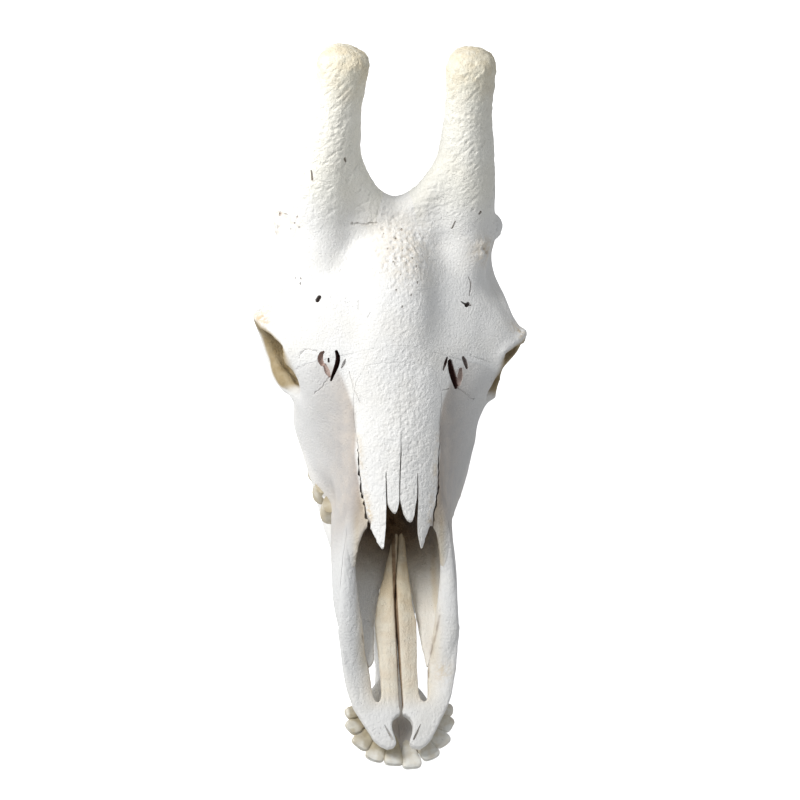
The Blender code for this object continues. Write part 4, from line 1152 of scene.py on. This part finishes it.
def gather(name, bodies):
    # several closed bodies in one mesh
    points, faces, base = [], [], 0
    for p, f in bodies:
        points.append(p)
        faces += [[base + k for k in face] for face in f]
        base += len(p)
    return bodyObject(name, (np.vstack(points), faces))


teeth = {}
for word, side in sides.items():
    rows = {"upperTeeth": toothRow("upper", side), "lowerTeeth": toothRow("lower", side),
            "frontTeeth": frontRow(side)}
    teeth.update({row + word: gather(row + word, bodies) for row, bodies in rows.items()})
print("stage: teeth made")


# What each point knows about its place: hollows, stains, and painted shade inside the cavities and holes and
# on the cheeks

stains = [  # middle, reach, strength of the ochre stain
    ((-98, 461, 134), 22, 0.5), ((98, 461, 132), 22, 0.3), ((-119, 366, 115), 13, 0.9),
    ((119, 366, 115), 11, 0.7), ((-92, 434, 168), 14, 0.45), ((78, 416, 157), 12, 0.8),
    ((37, 62, 18), 9, 0.6), ((3, 400, 176), 30, 0.35), ((-50, 512, 318), 26, 0.5), ((56, 512, 318), 26, 0.55),
]
barGroove = [(25.3, 57, 0), (26.5, 70, 0), (30, 84, 0), (33.5, 98, 0), (36, 108, 0)]
gapStain = [(-38, 250, 102), (-36, 235, 98), (-34, 220, 92), (-31, 200, 85), (-27, 180, 77)]


def sinkage(obj, passes):
    # how far each point lies below the surface that its neighbours' means settle to
    points, (ends, degree) = pointsOf(obj), neighbours(obj)
    new = points
    for _ in range(passes):
        new = 0.5 * new + 0.5 * neighbourMean(new, ends, degree)
    return ((new - points) * normalsOf(obj)).sum(1)


def most(*values):
    return np.maximum.reduce(values)


def holeMarks(points):
    # painted shade and pink inside the slots and pits: how dark and how pink each point is, by its depth in
    # the nearest one
    holeShade, pink = np.zeros(len(points)), np.zeros(len(points))
    for place, out, half, darkness, pinkness in holePlaces:
        near = np.nonzero(np.linalg.norm(points - place.mean(0), axis=1) < 24)[0]
        gap = points[near][:, None] - place[None]
        depth = -gap @ out
        aside = np.linalg.norm(gap + depth[..., None] * out, axis=2)
        pick = aside.argmin(1)
        depth, aside = depth[np.arange(len(near)), pick], aside.min(1)
        value = rise(depth, 0.3, 1.6) * (1 - rise(aside, half[pick] + 0.8, half[pick] + 2.2)) * (depth < 22)
        holeShade[near] = np.maximum(holeShade[near], darkness * value)
        pink[near] = np.maximum(pink[near], pinkness * value)
    return holeShade, pink


def socketMark(points):
    # inside the socket's ellipsoid or its cup, and on the left rim's inner edge
    x, y, z = points.T
    socket = np.zeros(len(points))
    for side in (1, -1):
        off, cup = (np.linalg.norm((points - np.array(head[middle]) * (side, 1, 1)) / head[radii], axis=1)
                    for middle, radii in (("orbitCentre", "orbitRadii"), ("cupCentre", "cupRadii")))
        edge = (side > 0) * (x > 60) * (1 - rise(off, 1.2, 1.32)) * (1 - rise(z, 92, 102))
        socket = most(socket, 1 - rise(off, 1.03, 1.14), 1 - rise(cup, 0.95, 1.02), edge)
    return socket * (y > 312) * (1 - 0.8 * rise(344 - y - 0.3 * (z - 55), 12, 22))


def hornMarks(points):
    # the crust that the horns wear, and their yellowed tips
    crust, tips = np.zeros(len(points)), np.zeros(len(points))
    for side in (1, -1):
        s, _, off = hornPlace(points, side)
        crust = most(crust, rise(s + 9 * softNoise(points, 16, 151), 18, 75) * (off < 50) * (s > 0))
        tips = most(tips, bell(s, 178, 30) * (off < 50))
    return crust, tips


def stainMark(points):
    # the ochre stains, and the lines of them under the nose bones' edges
    spots = [strength * nearness(points, middle, reach) for middle, reach, strength in stains]
    gaps = [0.9 * bell(lineDistance(points, np.array(gapStain) * (side, 1, 1)), 0, 3.4) for side in (1, -1)]
    return most(np.zeros(len(points)), *spots, *gaps)


def markPlaces(name, obj):
    # the colours' marks are worked out from each point's place and kept on the piece
    points = pointsOf(obj)
    x, y, z = points.T
    wide, flat = np.abs(x), np.zeros(len(points))
    side = 1 if name.endswith("Left") else -1
    isFront, isUpper = name.startswith("frontBone"), name == "upperJawBone"
    holeShade, pink = holeMarks(points)
    crust, tips = hornMarks(points)
    marks = {"dent": np.clip(sinkage(obj, 5) / 0.30, -1, 1), "hollow": np.clip(sinkage(obj, 40) / 1.6, -1, 1),
             "stain": stainMark(points), "socket": socketMark(points), "crust": crust, "tips": tips,
             "holeShade": holeShade, "pink": pink, "neck": flat, "warm": flat}
    fromTips = np.linalg.norm(points[:, None] - toothTips(side), axis=2).min(1)
    if name.startswith("frontTeeth"):
        # brown necks; on the animal's left they are mostly left off, painted light that lifts those teeth out
        # of the shade
        marks["neck"] = rise(fromTips + 2.0 * softNoise(points, 5, 161), 6, 13) * (0.15 if side > 0 else 1.0)
    elif "Teeth" in name:
        marks["neck"] = 0.55 + 0.45 * rise(softNoise(points, 7, 163), -0.3, 0.6)
    # the front teeth are duller on the animal's right: a patchy stain, with painted shade over the outer ones
    # on that lit side
    stainAndShadeShare = 0.25 * rise(-x, 26, 34) + 0.6 * rise(softNoise(points, 6, 165), -0.2, 0.7)
    marks["stainAndShade"] = stainAndShadeShare * rise(-x, 14, 24)
    # warm bone along the bars in front of the nose passage
    if isFront:
        marks["warm"] = most((1 - rise(wide, 18, 40)) * rise(y, 25, 50) * (0.7 + 0.5 * rise(y, 90, 180)),
                             0.55 * bell(wide, 30, 7) * rise(y, 55, 80) * (1 - rise(y, 110, 130)))
    if isUpper:
        bar = 0.85 * bell(wide, 38.0, 4.0) * rise(y, 105, 130) * (1 - rise(y, 180, 206))
        marks["warm"] = most(bar * (1 - rise(z - 0.45 * y, -8, 2)),
                             0.3 * rise(x, 0, 8) * (1 - rise(x, 34, 38)) * (1 - rise(y, 150, 185)),
                             0.6 * (1 - rise(wide, 33, 43)) * rise(y, 135, 190) * (1 - rise(y, 196, 215)))
    # painted shade: flat grey darkening on the cheeks, in the trough by the left brow and along the muzzle,
    # twice as strong on the muzzle's right side
    cheek = 0.72 * rise(wide, 43, 52) * bell(y, 262, 62) * rise(z, 8, 22) * (1 - rise(y, 316, 330))
    brow = 0.55 * bell(x, 46, 18) * bell(y, 378, 44) * rise(z, 120, 140)
    muzzle = (0.3 + 0.3 * (x < 0)) * rise(wide, 33, 42) * rise(y, 20, 90) * (1 - rise(y, 190, 230))
    marks["paintedShade"] = most(cheek, brow, muzzle)
    # painted shade in dark browns: inside the nose passage, in the seam between the front bones, round the
    # gums and on the middle of the chin, and in the bars' groove
    roof = np.interp(y, (60, 148, 200, 235, 308), (60, 68, 78, 90, 118))
    insideShade = rise(y, 150, 205) * (1 - rise(z, roof, roof + 3)) * rise(z, 3, 7) * bell(x, 0, 50) * (y < 318)
    if isFront:
        insideShade = most(0.28 * rise(y, 142, 190), 0.9 * (1 - rise(wide, 1.5, 2.3)) * rise(y, 30, 36))
    if name.startswith("jaw"):
        gums = 0.7 * (1 - rise(fromTips, 16, 22))
        insideShade = most(0.55 * bell(x, 0, 13) * bell(y, 22, 22), gums) * rise(z, -22, -16)
    if isFront or isUpper:
        groove = bell(lineDistance(np.abs(points) * (1, 1, 0), barGroove), 0, 1.0)
        insideShade = most(insideShade, 0.6 * groove * rise(z, 1, 4) * rise(softNoise(points, 7, 181), -0.5, 0.5))
    marks["insideShade"] = insideShade
    for label, values in marks.items():
        layer = obj.data.attributes.new(label, "FLOAT", "POINT")
        layer.data.foreach_set("value", np.asarray(values, np.float32))


# Finishes


def addNode(tree, kind, inputs=None, **settings):
    # one node; an input is given as a plain value or as the socket that feeds it
    node = tree.nodes.new(kind)
    for name, value in settings.items():
        setattr(node, name, value)
    for name, value in (inputs or {}).items():
        if isinstance(value, bpy.types.NodeSocket):
            tree.links.new(value, node.inputs[name])
        else:
            node.inputs[name].default_value = value
    return node


def mixColor(tree, share, low, high):
    return addNode(tree, "ShaderNodeMix", {0: share, 6: low, 7: high}, data_type="RGBA").outputs[2]


def maths(tree, operation, *values):
    return addNode(tree, "ShaderNodeMath", dict(enumerate(values)), operation=operation).outputs[0]


def times(tree, a, b):
    return maths(tree, "MULTIPLY", a, b)


def ramp(tree, value, low, high, toLow=0.0, toHigh=1.0):
    ends = {0: value, 1: low, 2: high, 3: toLow, 4: toHigh}
    return addNode(tree, "ShaderNodeMapRange", ends, interpolation_type="SMOOTHSTEP").outputs[0]


def cloudy(tree, place, scale, detail, roughness=0.5):
    look = {"Vector": place, "Scale": scale, "Detail": detail, "Roughness": roughness}
    return addNode(tree, "ShaderNodeTexNoise", look).outputs[0]


def mark(tree, name):
    # a mark that markPlaces keeps on the piece
    return addNode(tree, "ShaderNodeAttribute", attribute_name=name).outputs["Fac"]


def ownPlace(tree):
    return tree.nodes.new("ShaderNodeTexCoord").outputs["Object"]


socketKinds = {1: "NodeSocketFloat", 3: "NodeSocketVector", 4: "NodeSocketColor"}


def newGroup(name, inputs, outputs):
    # each socket's kind follows from how many numbers its value has
    tree = bpy.data.node_groups.new(name, "ShaderNodeTree")
    for label, value in inputs.items():
        socket = tree.interface.new_socket(label, in_out="INPUT", socket_type=socketKinds[np.size(value)])
        socket.default_value = value
    for label, size in outputs.items():
        tree.interface.new_socket(label, in_out="OUTPUT", socket_type=socketKinds[size])
    return tree, tree.nodes.new("NodeGroupInput").outputs, tree.nodes.new("NodeGroupOutput")


def poreGroup():
    # fine height of weathered bone: soft grain, long fibres and scattered pores
    tree, given, out = newGroup("weatheredGrain", {"Grain": 900.0, "Fibre": 0.35, "Pores": 420.0,
                                                   "Stretch": (1.0, 0.25, 1.0)}, {"Height": 1, "Pits": 1})
    place = ownPlace(tree)
    grain = cloudy(tree, place, given["Grain"], 4.0, 0.62)
    long = addNode(tree, "ShaderNodeVectorMath", {0: place, 1: given["Stretch"]}, operation="MULTIPLY")
    fibre = cloudy(tree, long.outputs[0], given["Grain"], 3.0)
    cells = addNode(tree, "ShaderNodeTexVoronoi", {"Vector": place, "Scale": given["Pores"],
                                                   "Randomness": 1.0})
    rare = ramp(tree, cloudy(tree, place, 70.0, 2.0), 0.54, 0.68)
    pits = times(tree, ramp(tree, cells.outputs["Distance"], 0.26, 0.08), rare)
    height = maths(tree, "ADD", grain, times(tree, fibre, given["Fibre"]))
    height = maths(tree, "SUBTRACT", height, times(tree, pits, 0.5))
    tree.links.new(height, out.inputs["Height"])
    tree.links.new(pits, out.inputs["Pits"])
    return tree


paints = ("Pale", "Cream", "Ochre", "CreaseBrown", "CrustPale", "CrustCream")


def tintGroup():
    # colour of old bone: two pale shades in soft patches, ochre stains, a little ochre in broad hollows, and
    # a darker brown, broken by specks, in sunk creases and pores
    inputs = {**dict.fromkeys(paints, (0.8, 0.8, 0.8, 1)), "Patches": 28.0, "Warmth": 0.5,
              **dict.fromkeys(("Dent", "Hollow", "Stain", "Pits", "Crust"), 0.0)}
    tree, given, out = newGroup("agedColour", inputs, {"Color": 4})
    place = ownPlace(tree)
    patch = cloudy(tree, place, given["Patches"], 5.0, 0.6)
    speck = cloudy(tree, place, 260.0, 4.0, 0.7)
    pale = mixColor(tree, given["Crust"], given["Pale"], given["CrustPale"])
    cream = mixColor(tree, given["Crust"], given["Cream"], given["CrustCream"])
    color = mixColor(tree, times(tree, ramp(tree, patch, 0.36, 0.68), given["Warmth"]), pale, cream)
    broken = ramp(tree, maths(tree, "ADD", times(tree, speck, 0.6), times(tree, patch, 0.4)), 0.38, 0.60)
    hollow = times(tree, ramp(tree, given["Hollow"], 0.25, 1.0), 0.12)
    creaseShare = times(tree, ramp(tree, given["Dent"], 0.25, 1.0), ramp(tree, speck, 0.30, 0.62, 0.2, 1.0))
    for share, paint in ((times(tree, broken, given["Stain"]), "Ochre"), (hollow, "Ochre"),
                         (times(tree, creaseShare, 0.32), "CreaseBrown"), (times(tree, given["Pits"], 0.05), "CreaseBrown")):
        color = mixColor(tree, share, color, given[paint])
    tree.links.new(color, out.inputs["Color"])
    return tree


grainGroup, colourGroup = poreGroup(), tintGroup()

# a layer is its mark, how much of it shows, and one colour or two that a soft cloud mixes
skinLayers = [("tips", 0.6, (0.79, 0.75, 0.60), (0.70, 0.61, 0.42)), ("pink", 1, (0.50, 0.36, 0.31)),
              # holeShade is painted shade, nearly black, deep in the slots and pits
              ("holeShade", 1, (0.085, 0.036, 0.030))]
boneLook = {
    "Pale": (0.84, 0.838, 0.83), "Cream": (0.79, 0.76, 0.69), "Ochre": (0.60, 0.44, 0.22),
    "CreaseBrown": (0.20, 0.14, 0.10), "CrustPale": (0.85, 0.84, 0.78), "CrustCream": (0.78, 0.74, 0.63),
    "Patches": 24.0, "Warmth": 0.3, "Grain": 500.0, "Fibre": 0.5, "Pores": 380.0,
    "bump": 0.85, "depth": 0.0012, "rough": (0.52, 0.72), "shine": 0.4, "layers": [
        ("socket", 1, (0.34, 0.26, 0.14), (0.42, 0.34, 0.21)),
        # paintedShade is painted shade, a flat grey over the cheeks, the brow trough and the muzzle
        ("warm", 1, (0.70, 0.58, 0.40), (0.76, 0.68, 0.52)), ("paintedShade", 1, (0.62, 0.63, 0.64)),
        # insideShade is painted shade in dark browns inside the cavities, seams and grooves
        ("insideShade", 1, (0.15, 0.085, 0.045), (0.28, 0.18, 0.10)), *skinLayers],
}
finishes = {
    "boneFinish": boneLook, "hornFinish": {**boneLook, "layers": skinLayers},
    "toothFinish": {
        **boneLook, "Pale": (0.84, 0.83, 0.78), "Cream": (0.68, 0.62, 0.50), "Ochre": (0.36, 0.20, 0.09),
        "CreaseBrown": (0.10, 0.06, 0.04), "Patches": 110.0, "Warmth": 0.75, "Grain": 900.0, "Fibre": 0.6,
        "Pores": 700.0, "bump": 0.25, "depth": 0.0004, "rough": (0.30, 0.5), "shine": 0.45,
        "layers": [("neck", 0.8, (0.32, 0.25, 0.13), (0.52, 0.45, 0.30)), ("stainAndShade", 1, (0.42, 0.36, 0.24))]},
}


def newMaterial(name):
    material = bpy.data.materials.new(name)
    material.use_nodes = True
    tree = material.node_tree
    return material, tree, next(n for n in tree.nodes if n.type == "BSDF_PRINCIPLED")


def finish(name, values):
    # the old bone's colour, then the layers over it, each where its mark says
    material, tree, shader = newMaterial(name)
    grain = addNode(tree, "ShaderNodeGroup", node_tree=grainGroup)
    tint = addNode(tree, "ShaderNodeGroup", node_tree=colourGroup)
    for label in ("Grain", "Fibre", "Pores"):
        grain.inputs[label].default_value = values[label]
    for label in ("Patches", "Warmth"):
        tint.inputs[label].default_value = values[label]
    for label in paints:
        tint.inputs[label].default_value = (*values[label], 1)
    for label in ("Dent", "Hollow", "Stain", "Crust"):
        tree.links.new(mark(tree, label.lower()), tint.inputs[label])
    tree.links.new(grain.outputs["Pits"], tint.inputs["Pits"])
    color = tint.outputs["Color"]
    cloud = ramp(tree, cloudy(tree, ownPlace(tree), 90.0, 4.0), 0.35, 0.65)
    for layer, share, *shades in values["layers"]:
        shades = [(*shade, 1) for shade in shades]
        shade = mixColor(tree, cloud, *shades) if len(shades) > 1 else shades[0]
        amount = mark(tree, layer) if share == 1 else times(tree, mark(tree, layer), share)
        color = mixColor(tree, amount, color, shade)
    low, high = values["rough"]
    height = grain.outputs["Height"]
    bump = addNode(tree, "ShaderNodeBump", {"Strength": values["bump"], "Distance": values["depth"],
                                            "Height": height})
    results = {"Base Color": color, "Roughness": ramp(tree, height, 0.4, 1.1, high, low),
               "Normal": bump.outputs["Normal"],
               # less shine where the painted shade inside lies
               "Specular IOR Level": ramp(tree, mark(tree, "insideShade"), 0.1, 0.7, values["shine"], 0.08)}
    for label, value in results.items():
        tree.links.new(value, shader.inputs[label])
    return material


materials = {name: finish(name, values) for name, values in finishes.items()}
print("stage: finishes made")


# Naming, placing and dressing the pieces

nodeOf = {"braincase": "cranium", "upperJawBone": "upper_jaw",
          "upperTeethLeft": "upper_jaw", "upperTeethRight": "upper_jaw"}
nodeWords = {"noseBone": "nasal", "horn": "ossicone", "cheekBone": "cheekbone", "frontBone": "premaxilla",
             "jaw": "mandible", "lowerTeeth": "mandible", "frontTeeth": "mandible"}
for piece, node in nodeWords.items():
    nodeOf.update({piece + word: node + "_" + word.lower() for word in sides})
lookOf = {"teeth": "toothFinish", "horn_bone": "hornFinish", "bone": "boneFinish"}
sharpAngle = 70.0

uneven = {"faceShift": 3.0, "faceNarrow": 0.035, "browForward": 11.5, "browOut": 1.5, "rimOut": 7.5}


def unevenSides(points):
    # the tooth-bearing part leans to the animal's left, and its left brow lies further forward
    x, y, z = points.T
    low = 1 - rise(z, 45, 90)
    moved = points.copy()
    moved[:, 0] += uneven["faceShift"] * bell(y, 262, 50) * low
    moved[:, 0] -= uneven["faceNarrow"] * np.minimum(x, 0) * bell(y, 290, 28) * low
    brow = rise(x, 76, 120) * bell(y, 362, 46) * rise(z, 40, 62)
    moved[:, 1] -= uneven["browForward"] * brow
    moved[:, 0] += uneven["browOut"] * brow
    moved[:, 0] += uneven["rimOut"] * rise(x, 76, 98) * bell(y, 358, 42) * bell(z, 64, 29)
    return moved


for name, obj in {**bones, **teeth}.items():
    obj.name = name
    markPlaces(name, obj)
    setPoints(obj, unevenSides(pointsOf(obj)))
    slotName = "teeth" if "Teeth" in name else "horn_bone" if name.startswith("horn") else "bone"
    obj.data.materials.clear()
    obj.data.materials.append(materials[lookOf[slotName]])
    obj.data.transform(toRow)
    obj.data.shade_smooth()
    obj.data.set_sharp_from_angle(angle=math.radians(sharpAngle))
    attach(obj, "root")
    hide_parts(nodeOf[name])
    print("piece", name, len(obj.data.vertices), "points")
print("stage: pieces dressed")


# Floor, light and camera

studio = {"floorHalf": 4.0, "floorGlow": 0.95, "floorTint": (0.93, 0.93, 0.93, 1), "floorRough": 0.9,
          "floorShine": 0.1, "fill": 0.43, "fillTint": (0.96, 0.98, 1, 1),
          "key": 10.4, "keySize": 0.45, "keyTint": (1.0, 0.99, 0.97), "keyFrom": (-0.68, 0.10, 0.94),
          "keyAim": (0, 0, 0.15)}
view = {"turn": (30.71, 9.03, 4.15), "distance": 1500.0, "scale": 1.095, "aim": (0, 300, 80),
        "aimPixel": (392.07, 401.12), "pixels": 800, "sensor": 36.0, "nearest": 0.01}


def floorSheet():
    # a flat square that looks evenly white to the camera
    half = studio["floorHalf"]
    corners = np.array([(-half, -half, 0), (half, -half, 0), (half, half, 0), (-half, half, 0)])
    floor = bodyObject("floor", (corners, [[0, 1, 2, 3]]))
    material, tree, shader = newMaterial("floorFinish")
    look = {"Base Color": studio["floorTint"], "Roughness": studio["floorRough"],
            "Specular IOR Level": studio["floorShine"], "Emission Color": (1, 1, 1, 1)}
    for label, value in look.items():
        shader.inputs[label].default_value = value
    seen = addNode(tree, "ShaderNodeLightPath").outputs["Is Camera Ray"]
    tree.links.new(times(tree, seen, studio["floorGlow"]), shader.inputs["Emission Strength"])
    floor.data.materials.append(material)


def keyLight():
    light = bpy.data.lights.new("key", "AREA")
    light.energy, light.size, light.color = studio["key"], studio["keySize"], studio["keyTint"]
    obj = newObject("key", light)
    obj.location = studio["keyFrom"]
    obj.rotation_euler = (Vector(studio["keyAim"]) - obj.location).to_track_quat("-Z", "Y").to_euler()


def photoCamera():
    # turned about three axes and shifted, so that the point aimed at falls on its pixel
    lift, turn, roll = (math.radians(a) for a in view["turn"])
    out = Vector((-math.sin(turn) * math.cos(lift), -math.sin(lift), math.cos(turn) * math.cos(lift)))
    right = Vector((math.cos(turn), 0, math.sin(turn)))
    up = out.cross(right)
    c, s = math.cos(roll), math.sin(roll)
    right, up = c * right - s * up, s * right + c * up
    eye = Vector(view["aim"]) + out * view["distance"]
    pose = Matrix((right, up, out)).transposed().to_4x4()
    place, turned, _ = (toRow @ (Matrix.Translation(eye) @ pose)).decompose()
    data = bpy.data.cameras.new("camera")
    wide, (column, line) = view["pixels"], view["aimPixel"]
    data.sensor_width = view["sensor"]
    data.lens = view["scale"] * view["distance"] * data.sensor_width / wide
    data.shift_x, data.shift_y = (wide / 2 - column) / wide, (line - wide / 2) / wide
    data.clip_start = view["nearest"]
    camera = newObject("camera", data)
    camera.location, camera.rotation_euler = place, turned.to_euler()
    scene.camera = camera


floorSheet()
keyLight()
photoCamera()
world = bpy.data.worlds.new("studio")
world.use_nodes = True
background = world.node_tree.nodes["Background"]
background.inputs[0].default_value, background.inputs[1].default_value = studio["fillTint"], studio["fill"]
scene.world = world
scene.view_settings.view_transform = "Standard"
print("stage: floor, light and camera ready")
